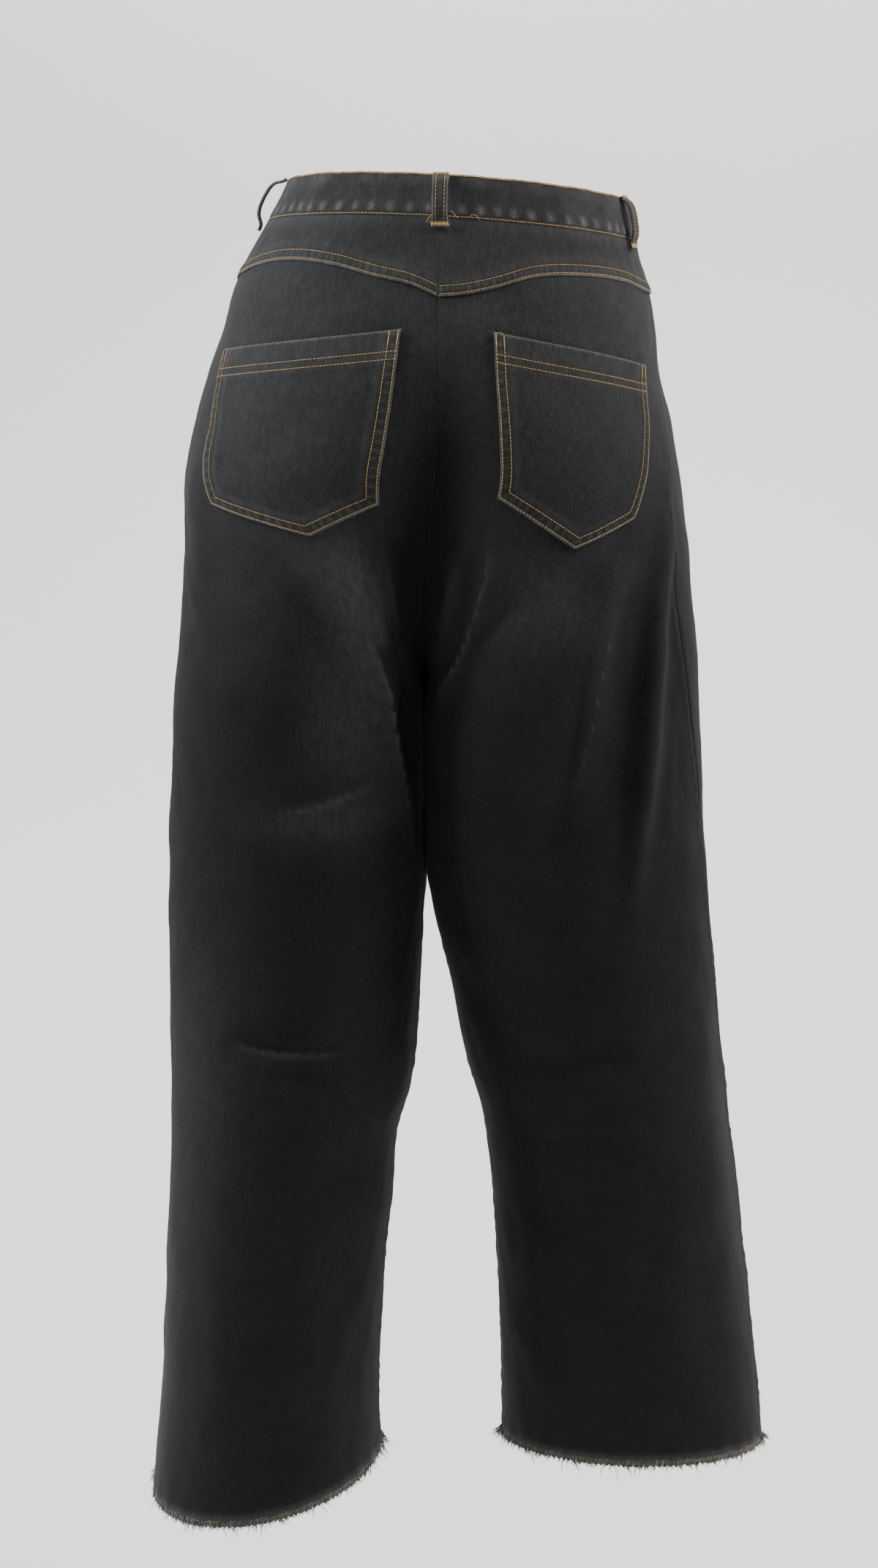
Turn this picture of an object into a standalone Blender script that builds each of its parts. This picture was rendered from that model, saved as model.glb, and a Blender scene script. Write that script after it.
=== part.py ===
"""Straight-leg jeans in the hollow form that they keep when worn, built piece by piece as they are sewn.

Units are metres, +Z is up, the front faces -Y and the wearer's left is +X. The origin is the middle
of the waist opening. One function gives the worn form: a point for a side of the body, a turn round
that side (0 at the front rise seam or inseam, 0.5 at the hip, 1 at the rear rise seam or inseam) and
a height. Every cloth piece is a closed wall lofted through that form, with its folds.
"""
import math

import bmesh
import bpy
import numpy as np
from mathutils import Matrix, Vector

# Cloth and seams
CLOTH = 0.0015
BAND_THICKNESS = 0.0030
SEAM_GAP = 0.0003
HALF_GAP = SEAM_GAP / 2
LAY_GAP = 0.00095
YOKE_PROUD = 0.0008
BAND_PROUD = 0.0010

# The two sides, as the sign of X
LEFT, RIGHT = 1, -1
SIDE_NAMES = {LEFT: "left", RIGHT: "right"}

# The fork, where the four panels meet
FORK_HEIGHT = -0.335
FORK_DEPTH = 0.005
FORK_SHIFT = 0.018
SHIFT_START = -0.100
HIP_HEIGHT = -0.160
REAR_DIP_START = -0.100
FRONT_DIP_START = -0.190
SECTION_FULLNESS = 0.04
RUN_PAST_MIDDLE = 0.085
REAR_FADE = 0.24
FRONT_FADE = 0.20
FADE_AT_FORK = 0.30
FADE_POWER = 1.7
PAST_POWER = 1.5
SWING_POWER = 4

# Sections of the hips, a row for each height
PELVIS_COLUMNS = ("height", "half_left", "half_right", "front", "back", "rear_seam")
PELVIS = (
    (0.060, 0.1156, 0.1220, 0.089, 0.0935, 0.093),
    (0.043, 0.1234, 0.1262, 0.093, 0.0985, 0.098),
    (0.013, 0.1388, 0.1330, 0.099, 0.1070, 0.106),
    (-0.012, 0.1531, 0.1375, 0.103, 0.1140, 0.112),
    (-0.040, 0.1676, 0.1465, 0.107, 0.1210, 0.118),
    (-0.070, 0.1759, 0.1515, 0.110, 0.1280, 0.123),
    (-0.101, 0.1871, 0.1552, 0.112, 0.1335, 0.126),
    (-0.136, 0.1976, 0.1640, 0.114, 0.1380, 0.127),
    (-0.175, 0.2061, 0.1712, 0.115, 0.1410, 0.127),
    (-0.216, 0.2076, 0.1772, 0.115, 0.1405, 0.127),
    (-0.265, 0.2096, 0.1822, 0.114, 0.1370, 0.127),
    (-0.311, 0.2136, 0.1872, 0.112, 0.1320, 0.127),
    (-0.335, 0.2161, 0.1885, 0.112, 0.1300, 0.127),
    (-0.400, 0.2198, 0.1919, 0.112, 0.1300, 0.127),
)

# Sections of each leg, a row for each height; outer and inner are measured from the body's middle
LEG_COLUMNS = ("height", "outer", "inner", "middle_depth", "half_depth")
LEFT_LEG = (
    (-0.270, 0.2103, 0.0180, 0.0045, 0.1095),
    (-0.335, 0.2163, 0.0180, 0.0050, 0.1080),
    (-0.400, 0.2200, 0.0160, 0.0060, 0.1050),
    (-0.470, 0.2233, 0.0190, 0.0075, 0.1030),
    (-0.556, 0.2242, 0.0250, 0.0090, 0.1010),
    (-0.627, 0.2240, 0.0290, 0.0105, 0.0990),
    (-0.665, 0.2240, 0.0350, 0.0115, 0.0980),
    (-0.700, 0.2243, 0.0448, 0.0120, 0.0975),
    (-0.745, 0.2263, 0.0480, 0.0130, 0.0975),
    (-0.800, 0.2293, 0.0540, 0.0145, 0.0980),
    (-0.860, 0.2319, 0.0575, 0.0160, 0.0990),
    (-0.915, 0.2350, 0.0597, 0.0175, 0.1000),
    (-0.965, 0.2398, 0.0580, 0.0190, 0.1015),
    (-1.020, 0.2453, 0.0545, 0.0200, 0.1035),
)
RIGHT_LEG = (
    (-0.270, 0.1835, -0.0180, 0.0095, 0.1100),
    (-0.335, 0.1885, -0.0180, 0.0050, 0.1080),
    (-0.400, 0.1919, -0.0235, 0.0000, 0.1050),
    (-0.470, 0.1957, -0.0242, -0.0050, 0.1020),
    (-0.528, 0.2010, -0.0145, -0.0090, 0.0990),
    (-0.584, 0.2060, -0.0020, -0.0135, 0.0960),
    (-0.644, 0.2125, 0.0090, -0.0180, 0.0935),
    (-0.683, 0.2168, 0.0205, -0.0210, 0.0920),
    (-0.741, 0.2247, 0.0280, -0.0255, 0.0910),
    (-0.812, 0.2327, 0.0327, -0.0300, 0.0910),
    (-0.904, 0.2434, 0.0360, -0.0355, 0.0920),
    (-1.000, 0.2525, 0.0372, -0.0405, 0.0930),
)

# Where the thighs press together: a leaning plane that flattens both legs below the fork
PRESS_LEAN = 0.029
PRESS_GAP = 0.0004
PRESS_ROUND = 0.0012
PRESS_FROM = 0.030

# Outseam, as a turn at each height
OUTSEAM_COLUMNS = ("height", "left", "right")
OUTSEAM = (
    (0.060, 0.470, 0.500),
    (-0.042, 0.470, 0.515),
    (-0.120, 0.470, 0.560),
    (-0.200, 0.475, 0.598),
    (-0.264, 0.480, 0.595),
    (-0.361, 0.480, 0.552),
    (-0.465, 0.480, 0.516),
    (-0.600, 0.480, 0.505),
    (-1.050, 0.480, 0.500),
)

# Yoke seam, as a height at each turn
YOKE_COLUMNS = ("turn", "left", "right")
YOKE_SEAM = (
    (0.44, -0.0365, -0.0465),
    (0.58, -0.0280, -0.0380),
    (0.67, -0.0200, -0.0300),
    (0.76, -0.0152, -0.0258),
    (0.84, -0.0183, -0.0262),
    (0.91, -0.0262, -0.0340),
    (0.96, -0.0315, -0.0385),
    (1.00, -0.0400, -0.0400),
)

# Lower edge of the waistband: a tilted plane that dips a little at the sides
BAND_HEIGHT = 0.0312
BAND_MIDDLE = 0.0056
BAND_TILT_X = 0.050
BAND_TILT_Y = 0.087
BAND_SIDE_DIP = 0.0040

# Waistband ends: the left end laps over the right one at the centre front
BAND_COLUMNS = 64
BAND_LAP_END = -0.050
BAND_UNDER_END = 2.030
BAND_LIFT = 0.0034
BAND_LIFT_FROM = 0.120
BAND_LIFT_TO = 0.045

# Hems: the height of each cut edge on the leg's middle line and its slopes across and fore and aft
HEM_COLUMNS = ("height", "slope_x", "slope_y")
HEM = {LEFT: (-0.977, -0.175, -0.090), RIGHT: (-0.963, 0.0, 0.115)}

# Columns and rows of the panels
BACK_COLUMNS = 18
FRONT_COLUMNS = 13
YOKE_ROWS = 3
TOP_ROWS = 2
FIRST_LEVEL = -0.075
LEVELS = (-0.105, -0.135, -0.165, -0.195, -0.225, -0.252, -0.276, -0.297, -0.314, -0.326, -0.3325)
LEG_FRACTIONS = (0.012, 0.035, 0.07, 0.12, 0.175, 0.23, 0.285, 0.34, 0.40, 0.455, 0.50, 0.545,
                 0.60, 0.67, 0.76, 0.88, 1.0)

# The largest folds, a row for each: a path through three points of turn and height, the reach to
# each side and how far the cloth stands out (in if negative) at the middle of the path
FOLD_COLUMNS = ("side", "turn_a", "height_a", "turn_b", "height_b", "turn_c", "height_c",
                "reach_low", "reach_high", "rise")
FOLDS = (
    (LEFT, 0.880, -0.225, 0.884, -0.290, 0.845, -0.360, 0.022, 0.016, 0.0050),
    (LEFT, 0.925, -0.290, 0.880, -0.355, 0.930, -0.460, 0.015, 0.009, 0.0048),
    (LEFT, 0.800, -0.250, 0.815, -0.320, 0.780, -0.400, 0.020, 0.020, -0.0030),
    (LEFT, 0.730, -0.428, 0.800, -0.420, 0.868, -0.398, 0.010, 0.013, -0.0026),
    (LEFT, 0.680, -0.604, 0.750, -0.611, 0.835, -0.613, 0.010, 0.013, -0.0032),
    (LEFT, 0.740, -0.628, 0.795, -0.638, 0.850, -0.648, 0.009, 0.012, -0.0026),
    (LEFT, 0.680, -0.140, 0.640, -0.210, 0.610, -0.280, 0.020, 0.020, 0.0030),
    (LEFT, 0.320, -0.610, 0.260, -0.625, 0.190, -0.600, 0.012, 0.015, -0.0034),
    (LEFT, 0.300, -0.655, 0.240, -0.668, 0.180, -0.650, 0.012, 0.014, -0.0030),
    (LEFT, 0.110, -0.240, 0.170, -0.265, 0.250, -0.275, 0.012, 0.016, -0.0036),
    (LEFT, 0.090, -0.280, 0.160, -0.320, 0.240, -0.345, 0.014, 0.018, -0.0032),
    (RIGHT, 0.710, -0.228, 0.717, -0.305, 0.740, -0.440, 0.020, 0.014, 0.0052),
    (RIGHT, 0.626, -0.190, 0.638, -0.330, 0.672, -0.520, 0.014, 0.010, 0.0048),
    (RIGHT, 0.672, -0.230, 0.676, -0.320, 0.700, -0.440, 0.012, 0.012, -0.0034),
    (RIGHT, 0.820, -0.248, 0.860, -0.284, 0.905, -0.325, 0.018, 0.018, -0.0040),
    (RIGHT, 0.925, -0.222, 0.922, -0.282, 0.885, -0.350, 0.016, 0.012, 0.0040),
    (RIGHT, 0.800, -0.330, 0.790, -0.400, 0.800, -0.470, 0.022, 0.022, -0.0026),
    (RIGHT, 0.690, -0.610, 0.760, -0.622, 0.840, -0.615, 0.012, 0.015, -0.0030),
    (RIGHT, 0.330, -0.600, 0.250, -0.585, 0.180, -0.560, 0.012, 0.015, -0.0038),
    (RIGHT, 0.320, -0.650, 0.250, -0.640, 0.170, -0.610, 0.012, 0.015, -0.0032),
    (RIGHT, 0.100, -0.235, 0.180, -0.250, 0.280, -0.245, 0.012, 0.018, -0.0040),
    (RIGHT, 0.090, -0.275, 0.170, -0.305, 0.270, -0.315, 0.014, 0.018, -0.0036),
)
FOLD_STEPS = 12
FOLD_EDGE = 0.05
LEG_ROUND = 0.62
HIP_ROUND = 0.48

# Back pockets: corners as turn and height, from the top inner corner round by the tip
POCKET_CORNERS = ("top_inner", "top_outer", "low_outer", "tip", "low_inner")
POCKETS = {
    LEFT: ((0.952, -0.063), (0.657, -0.082), (0.697, -0.194), (0.837, -0.213), (0.936, -0.189)),
    RIGHT: ((0.915, -0.065), (0.629, -0.092), (0.697, -0.201), (0.777, -0.221), (0.907, -0.183)),
}
POCKET_COLUMNS = 10
POCKET_ROWS = 8

# Belt loops: where each sits round the waistband, and how far its middle stands off
LOOP_COLUMNS = ("name", "place", "stand_off")
LOOPS = (
    ("loop_front_left", 0.270, 0.0055),
    ("loop_back_left", 0.540, 0.0080),
    ("loop_back", 1.000, 0.0060),
    ("loop_back_right", 1.405, 0.0052),
    ("loop_front_right", 1.730, 0.0055),
)
LOOP_WIDTH = 0.0115
LOOP_THICKNESS = 0.0018
LOOP_SEAT = 0.0005
LOOP_PROFILE_COLUMNS = ("up", "share_of_stand_off")
LOOP_PROFILE = (
    (-0.0070, 0.0), (-0.0030, 0.0), (0.0010, 0.7), (0.0060, 1.0), (0.0140, 1.08), (0.0220, 1.0),
    (0.0270, 0.7), (0.0296, 0.0), (0.0316, 0.0),
)

# Fly shield, inside the front
SHIELD_FROM, SHIELD_TO = -0.020, 0.085
SHIELD_TOP, SHIELD_FOOT = -0.016, -0.150
SHIELD_COLUMNS = 5
SHIELD_ROWS = 6

# Waist button
BUTTON_PROFILE_COLUMNS = ("radius", "height")
BUTTON_PROFILE = (
    (0.0, 0.0030), (0.0035, 0.0032), (0.0062, 0.0029), (0.0070, 0.0036), (0.0081, 0.0035),
    (0.0086, 0.0026), (0.0082, 0.0017), (0.0060, 0.0012), (0.0045, 0.0010), (0.0045, 0.0),
    (0.0, 0.0),
)
BUTTON_STEPS = 24

# Frayed hems: a narrow strip with loose locks of thread below it
FRAY_SEGMENTS = 112
FRAY_STRIP = 0.0055
FRAY_SHORT, FRAY_LONG = 0.005, 0.013
FRAY_LOCK_SHARE = 0.52
FRAY_TUFT = 0.008
FRAY_SWAY = 0.0022
TUFT_REACH = 0.018
GOLDEN_TURN = 0.61803

COLOURS = {
    "denim": (0.030, 0.031, 0.036, 1.0),
    "denim_inside": (0.090, 0.092, 0.098, 1.0),
    "fray": (0.300, 0.290, 0.270, 1.0),
    "metal": (0.420, 0.300, 0.160, 1.0),
}


def clear_scene():
    for old in list(bpy.data.objects):
        bpy.data.objects.remove(old, do_unlink=True)


def new_material(name, colour, roughness, metallic):
    material = bpy.data.materials.new(name)
    material.use_nodes = True
    shader = material.node_tree.nodes["Principled BSDF"]
    shader.inputs["Base Color"].default_value = colour
    shader.inputs["Roughness"].default_value = roughness
    shader.inputs["Metallic"].default_value = metallic
    return material


def ease(share):
    """Smooth step from 0 to 1."""
    share = np.clip(share, 0.0, 1.0)
    return share * share * (3.0 - 2.0 * share)


def read_rows(rows, key):
    """The other columns of a table at given values of its first, along a smooth curve."""
    table = np.array(rows, float)
    if table[0, 0] > table[-1, 0]:
        table = table[::-1]
    keys, values = table[:, 0], table[:, 1:]
    slopes = np.empty_like(values)
    slopes[1:-1] = (values[2:] - values[:-2]) / (keys[2:] - keys[:-2])[:, None]
    slopes[0] = (values[1] - values[0]) / (keys[1] - keys[0])
    slopes[-1] = (values[-1] - values[-2]) / (keys[-1] - keys[-2])
    place = np.clip(key, keys[0], keys[-1])
    i = np.clip(np.searchsorted(keys, place) - 1, 0, len(keys) - 2)
    span = (keys[i + 1] - keys[i])[..., None]
    t = (place - keys[i])[..., None] / span
    start = (2 * t**3 - 3 * t**2 + 1) * values[i] + (t**3 - 2 * t**2 + t) * slopes[i] * span
    end = (3 * t**2 - 2 * t**3) * values[i + 1] + (t**3 - t**2) * slopes[i + 1] * span
    return np.moveaxis(start + end, -1, 0)


def middle_shift(height):
    """How far the body's middle plane leans towards the left at a height."""
    return FORK_SHIFT * ease((SHIFT_START - height) / (SHIFT_START - FORK_HEIGHT))


def rise_depths(height, front, rear_seam):
    """Depth of the front and rear rise seams, which curve in to the fork."""
    rear_share = np.clip((height - FORK_HEIGHT) / (REAR_DIP_START - FORK_HEIGHT), 0, 1)
    front_share = np.clip((height - FORK_HEIGHT) / (FRONT_DIP_START - FORK_HEIGHT), 0, 1)
    rear = FORK_DEPTH + (rear_seam - FORK_DEPTH) * np.sqrt(1 - (1 - rear_share) ** 2)
    fore = FORK_DEPTH - (front + FORK_DEPTH) * np.sqrt(1 - (1 - front_share) ** 2)
    return fore, rear


def press_flat(side, leg_x, height):
    """Keeps a leg on its own side of the plane where the two legs press together."""
    below = np.clip(FORK_HEIGHT - height, 0, None)
    begun = ease(below / PRESS_FROM)
    limit = side * (FORK_SHIFT + PRESS_LEAN * below) + PRESS_GAP * begun
    soft = PRESS_ROUND * begun
    pressed = (leg_x + limit + np.sqrt((leg_x - limit) ** 2 + soft**2)) / 2
    return np.where(below > 0, pressed, leg_x)


def body_form(side, turn, height):
    """Points of the worn form without folds: hip sections that turn into two round legs."""
    turn, height = np.broadcast_arrays(np.asarray(turn, float), np.asarray(height, float))
    above = height > FORK_HEIGHT
    hip_level = np.maximum(height, FORK_HEIGHT)
    half_left, half_right, front, back, rear_seam = read_rows(PELVIS, hip_level)
    outer = half_left if side == LEFT else half_right
    middle = side * middle_shift(hip_level)
    share = (hip_level - FORK_HEIGHT) / (HIP_HEIGHT - FORK_HEIGHT)
    hip_weight = np.where(above, ease(share), 0.0)
    past = RUN_PAST_MIDDLE * np.clip(share, 0, 1) ** PAST_POWER

    leg_rows = LEFT_LEG if side == LEFT else RIGHT_LEG
    leg_outer, leg_inner, depth, half_depth = read_rows(leg_rows, height)
    radius = np.where(above, (outer - middle + past) / 2, (leg_outer - leg_inner) / 2)
    centre = np.where(above, outer - radius, leg_inner + radius)
    limit = np.where(above, np.arccos(np.clip(past / radius - 1, -1, 1)), np.pi)
    swing = 2 * turn - 1
    angle = np.pi * swing - (np.pi - limit) * np.sign(swing) * np.abs(swing) ** SWING_POWER
    leg_x = press_flat(side, centre + radius * np.cos(angle), height)
    leg_y = depth + half_depth * np.sin(angle)

    half_angle = np.pi * (turn - 0.5)
    fullness = 1 + SECTION_FULLNESS * np.sin(2 * half_angle) ** 2
    hip_x = middle + (outer - middle) * np.cos(half_angle) * fullness
    hip_y = np.where(half_angle < 0, front, back) * np.sin(half_angle) * fullness

    x = hip_weight * hip_x + (1 - hip_weight) * leg_x
    y = hip_weight * hip_y + (1 - hip_weight) * leg_y
    fore, rear = rise_depths(hip_level, front, rear_seam)
    rear_end = hip_weight * back + (1 - hip_weight) * (depth + half_depth * np.sin(limit))
    fore_end = -hip_weight * front + (1 - hip_weight) * (depth - half_depth * np.sin(limit))
    spread = FADE_AT_FORK + (1 - FADE_AT_FORK) * ease(1.5 * share)
    rear_pull = np.clip((turn - 1) / (REAR_FADE * spread) + 1, 0, 1) ** FADE_POWER
    fore_pull = np.clip(1 - turn / (FRONT_FADE * spread), 0, 1) ** FADE_POWER
    pull = (rear - rear_end) * rear_pull + (fore - fore_end) * fore_pull
    y = y + np.where(above, pull, 0.0)
    return np.stack([side * x, y, height + 0 * x], -1)


def round_length(height):
    """Length of cloth from turn 0 to turn 1."""
    return HIP_ROUND + (LEG_ROUND - HIP_ROUND) * ease((HIP_HEIGHT - height) / (HIP_HEIGHT - FORK_HEIGHT))


def fold_height(side, turn, height):
    """How far the folds lift the cloth off the body form."""
    total = np.zeros(np.broadcast(turn, height).shape)
    across = round_length(height)
    for row in FOLDS:
        if row[0] != side:
            continue
        a, b, c = np.array(row[1:3]), np.array(row[3:5]), np.array(row[5:7])
        reach_low, reach_high, rise = row[7:]
        bend = 2 * b - (a + c) / 2
        steps = np.linspace(0, 1, FOLD_STEPS + 1)[:, None]
        path = (1 - steps) ** 2 * a + 2 * steps * (1 - steps) * bend + steps**2 * c
        nearest = np.full(total.shape, 1e9)
        along = np.zeros(total.shape)
        sign = np.ones(total.shape)
        for k in range(FOLD_STEPS):
            run_x = (path[k + 1, 0] - path[k, 0]) * across
            run_z = path[k + 1, 1] - path[k, 1]
            off_x = (turn - path[k, 0]) * across
            off_z = height - path[k, 1]
            t = np.clip((off_x * run_x + off_z * run_z) / (run_x**2 + run_z**2), 0, 1)
            gap = np.hypot(off_x - t * run_x, off_z - t * run_z)
            closer = gap < nearest
            along = np.where(closer, (k + t) / FOLD_STEPS, along)
            sign = np.where(closer, np.sign(off_z * run_x - off_x * run_z), sign)
            nearest = np.where(closer, gap, nearest)
        reach = np.where(sign > 0, reach_high, reach_low)
        total += rise * np.exp(-((nearest / reach) ** 2)) * np.sin(np.pi * np.clip(along, 0, 1)) ** 0.7
    return total * ease(np.minimum(turn, 1 - turn) / FOLD_EDGE)


def plain_normal(side, turn, height):
    """Outward unit normals of the body form."""
    step = 1e-4
    turn, height = np.broadcast_arrays(np.asarray(turn, float), np.asarray(height, float))
    across = body_form(side, np.clip(turn + step, 0, 1), height)
    across = across - body_form(side, np.clip(turn - step, 0, 1), height)
    up = body_form(side, turn, height + step) - body_form(side, turn, height - step)
    normal = np.cross(across, up)
    return side * normal / np.linalg.norm(normal, axis=-1, keepdims=True)


def cloth_point(side, turn, height):
    """Points of the cloth's outer face, folds included."""
    lift = fold_height(side, turn, height)[..., None]
    return body_form(side, turn, height) + plain_normal(side, turn, height) * lift


def cloth_normal(side, turn, height):
    """Outward unit normals of the folded cloth; on a rise seam they never lean across the middle."""
    step = 4e-4
    turn, height = np.broadcast_arrays(np.asarray(turn, float), np.asarray(height, float))
    across = cloth_point(side, np.clip(turn + step, 0, 1), height)
    across = across - cloth_point(side, np.clip(turn - step, 0, 1), height)
    up = cloth_point(side, turn, height + step) - cloth_point(side, turn, height - step)
    normal = side * np.cross(across, up)
    on_rise = (np.minimum(turn, 1 - turn) < step) & (height >= FORK_HEIGHT)
    inward = np.where(side * normal[..., 0] > 0, 0.0, normal[..., 0])
    normal[..., 0] = np.where(on_rise, inward, normal[..., 0])
    return normal / np.linalg.norm(normal, axis=-1, keepdims=True)


def outseam_turn(side, height):
    left, right = read_rows(OUTSEAM, np.asarray(height, float))
    return left if side == LEFT else right


def yoke_height(side, turn):
    left, right = read_rows(YOKE_SEAM, np.asarray(turn, float))
    return left if side == LEFT else right


def band_edge(side, turn):
    """Height of the waistband's lower edge."""
    turn = np.asarray(turn, float)
    place = body_form(side, turn, np.zeros_like(turn))
    dip = BAND_SIDE_DIP * np.cos(np.pi * (turn - 0.5)) ** 2
    return BAND_MIDDLE + BAND_TILT_X * place[..., 0] + BAND_TILT_Y * place[..., 1] - dip


def hem_height(side, turn):
    """Height of the cut edge of a leg."""
    middle, slope_x, slope_y = HEM[side]
    turn = np.asarray(turn, float)
    ring = body_form(side, turn, np.full_like(turn, middle))
    centre = body_form(side, np.array([0.0, 0.5]), np.full(2, middle)).mean(axis=0)
    return middle + slope_x * (ring[..., 0] - centre[0]) + slope_y * (ring[..., 1] - centre[1])


def facet(bm, verts):
    """A triangle, unless two of its corners are one point."""
    if len(set(verts)) == 3:
        bm.faces.new(verts)


def finish_mesh(bm, name, material, collection, sharp=45.0):
    """Turns a closed bmesh into a named object with smooth shading."""
    bmesh.ops.recalc_face_normals(bm, faces=bm.faces[:])
    mesh = bpy.data.meshes.new(name)
    bm.to_mesh(mesh)
    bm.free()
    mesh.materials.append(material)
    mesh.shade_smooth()
    mesh.set_sharp_from_angle(angle=math.radians(sharp))
    piece = bpy.data.objects.new(name, mesh)
    collection.objects.link(piece)
    return piece


def cloth_wall(name, outer, normals, thickness, material, collection):
    """A closed wall between a grid of outer points and the same grid moved in by the thickness."""
    rows, columns = outer.shape[:2]
    inner = outer - normals * thickness
    bm = bmesh.new()
    out = [[bm.verts.new(outer[i, j]) for j in range(columns)] for i in range(rows)]
    back = [[bm.verts.new(inner[i, j]) for j in range(columns)] for i in range(rows)]
    for i in range(rows - 1):
        for j in range(columns - 1):
            falling = np.linalg.norm(outer[i, j] - outer[i + 1, j + 1])
            rising = np.linalg.norm(outer[i + 1, j] - outer[i, j + 1])
            for grid, turned in ((out, False), (back, True)):
                a, b = grid[i][j], grid[i + 1][j]
                c, d = grid[i + 1][j + 1], grid[i][j + 1]
                pair = ((a, b, c), (a, c, d)) if falling < rising else ((a, b, d), (b, c, d))
                for corner in pair:
                    facet(bm, corner[::-1] if turned else corner)
    edge = [(i, 0) for i in range(rows)] + [(rows - 1, j) for j in range(1, columns)]
    edge += [(i, columns - 1) for i in range(rows - 2, -1, -1)]
    edge += [(0, j) for j in range(columns - 2, 0, -1)]
    for k, (i, j) in enumerate(edge):
        m, n = edge[(k + 1) % len(edge)]
        facet(bm, (out[i][j], back[i][j], back[m][n]))
        facet(bm, (out[i][j], back[m][n], out[m][n]))
    return finish_mesh(bm, name, material, collection)


def outer_blend(seam, rear, share):
    """Turn of a panel's column: from the rise seam (share 0) to the outseam (share 1)."""
    start = 1.0 if rear else 0.0
    return start + (seam - start) * share


def edge_on_column(side, rear, share, edge):
    """Height at which a panel's column meets an edge that is given as a height at each turn."""
    height = 0.0
    for _ in range(4):
        turn = outer_blend(float(outseam_turn(side, height)), rear, share)
        height = float(edge(side, turn))
    return height


def panel_heights(side, rear, share, top):
    """Heights of the rows on one column of a panel, from its top edge to the hem."""
    first = []
    if not rear:
        yoke_end = edge_on_column(side, True, 1.0, yoke_height) - HALF_GAP
        first = list(np.linspace(top, yoke_end, YOKE_ROWS + 1)[:-1])
        top = yoke_end
    first += list(np.linspace(top, FIRST_LEVEL, TOP_ROWS + 1))
    hem = edge_on_column(side, rear, share, hem_height)
    leg = [FORK_HEIGHT + (hem - FORK_HEIGHT) * share for share in LEG_FRACTIONS]
    return np.array(first + list(LEVELS) + [FORK_HEIGHT] + leg)


def leg_panel(name, side, rear, material, collection):
    """A front or back panel from the waist seam or yoke seam to the cut edge at the hem."""
    columns = BACK_COLUMNS if rear else FRONT_COLUMNS
    top_edge = yoke_height if rear else band_edge
    away = 1.0 if rear else -1.0
    outer, normals = [], []
    for share in np.linspace(0.0, 1.0, columns + 1):
        top = edge_on_column(side, rear, share, top_edge) - HALF_GAP
        heights = panel_heights(side, rear, share, top)
        nudge = away * HALF_GAP / round_length(heights)
        turns = outer_blend(outseam_turn(side, heights) + nudge, rear, share)
        if share == 0.0:
            turns = turns - np.where(heights <= FORK_HEIGHT, nudge, 0.0)
        column = cloth_point(side, turns, heights)
        if share == 0.0:
            column[:, 0] += np.where(heights >= FORK_HEIGHT, side * HALF_GAP, 0.0)
        outer.append(column)
        normals.append(cloth_normal(side, turns, heights))
    return cloth_wall(name, np.stack(outer, 1), np.stack(normals, 1), CLOTH, material, collection)


def yoke(name, side, material, collection):
    """The yoke between the waistband and the back panel, a little proud of the panel."""
    outer, normals = [], []
    for share in np.linspace(0.0, 1.0, BACK_COLUMNS + 1):
        high = edge_on_column(side, True, share, band_edge) - HALF_GAP
        low = edge_on_column(side, True, share, yoke_height) + HALF_GAP
        heights = np.linspace(high, low, YOKE_ROWS + 1)
        nudge = HALF_GAP / round_length(heights)
        turns = outer_blend(outseam_turn(side, heights) + nudge, True, share)
        normal = cloth_normal(side, turns, heights)
        column = cloth_point(side, turns, heights) + normal * YOKE_PROUD
        if share == 0.0:
            column[:, 0] += side * HALF_GAP
        outer.append(column)
        normals.append(normal)
    return cloth_wall(name, np.stack(outer, 1), np.stack(normals, 1), CLOTH, material, collection)


def ring_place(place):
    """Side and turn for a place round the waist: 0 front, 0.5 left hip, 1 back, 1.5 right hip."""
    place = place % 2.0
    return (LEFT, place) if place <= 1.0 else (RIGHT, 2.0 - place)


def ring_point(place, up, proud):
    """A point on the waistband's height range, with its outward normal."""
    side, turn = ring_place(place)
    height = np.array(float(band_edge(side, turn)) + up)
    turn = np.array(turn)
    normal = cloth_normal(side, turn, height)
    return cloth_point(side, turn, height) + normal * proud, normal


def waistband(material, collection):
    """The waistband, one strip whose left end laps over its right end at the centre front."""
    places = np.linspace(BAND_LAP_END, BAND_UNDER_END, BAND_COLUMNS + 1)
    outer, normals = [], []
    for up in (BAND_HEIGHT, BAND_HEIGHT / 2, HALF_GAP):
        row, row_normals = [], []
        for place in places:
            lift = BAND_LIFT * float(ease((BAND_LIFT_FROM - place) / (BAND_LIFT_FROM - BAND_LIFT_TO)))
            point, normal = ring_point(place, up, BAND_PROUD + lift)
            row.append(point)
            row_normals.append(normal)
        outer.append(row)
        normals.append(row_normals)
    return cloth_wall("waistband", np.array(outer), np.array(normals), BAND_THICKNESS, material,
                      collection)


def belt_loop(name, place, stand_off, material, collection):
    """A belt loop: a folded strip sewn down at both ends, open between."""
    side, turn = ring_place(place)
    low, normal = ring_point(place, 0.0, 0.0)
    high, _ = ring_point(place, BAND_HEIGHT, 0.0)
    up = high - low
    up = up / np.linalg.norm(up)
    across = np.cross(up, normal)
    across = across / np.linalg.norm(across)
    outer, normals = [], []
    for rise, share in LOOP_PROFILE:
        centre, out = ring_point(place, rise, BAND_PROUD + LOOP_SEAT + LOOP_THICKNESS)
        centre = centre + out * (stand_off * share)
        outer.append([centre + across * (LOOP_WIDTH * part) for part in (-0.5, 0.0, 0.5)])
    outer = np.array(outer)[::-1]
    for i in range(len(outer)):
        before, after = outer[max(i - 1, 0)], outer[min(i + 1, len(outer) - 1)]
        out = np.cross(across, (before - after)[1])
        out = out / np.linalg.norm(out)
        normals.append([out if out @ normal > 0 else -out] * 3)
    return cloth_wall(name, outer, np.array(normals), LOOP_THICKNESS, material, collection)


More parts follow.
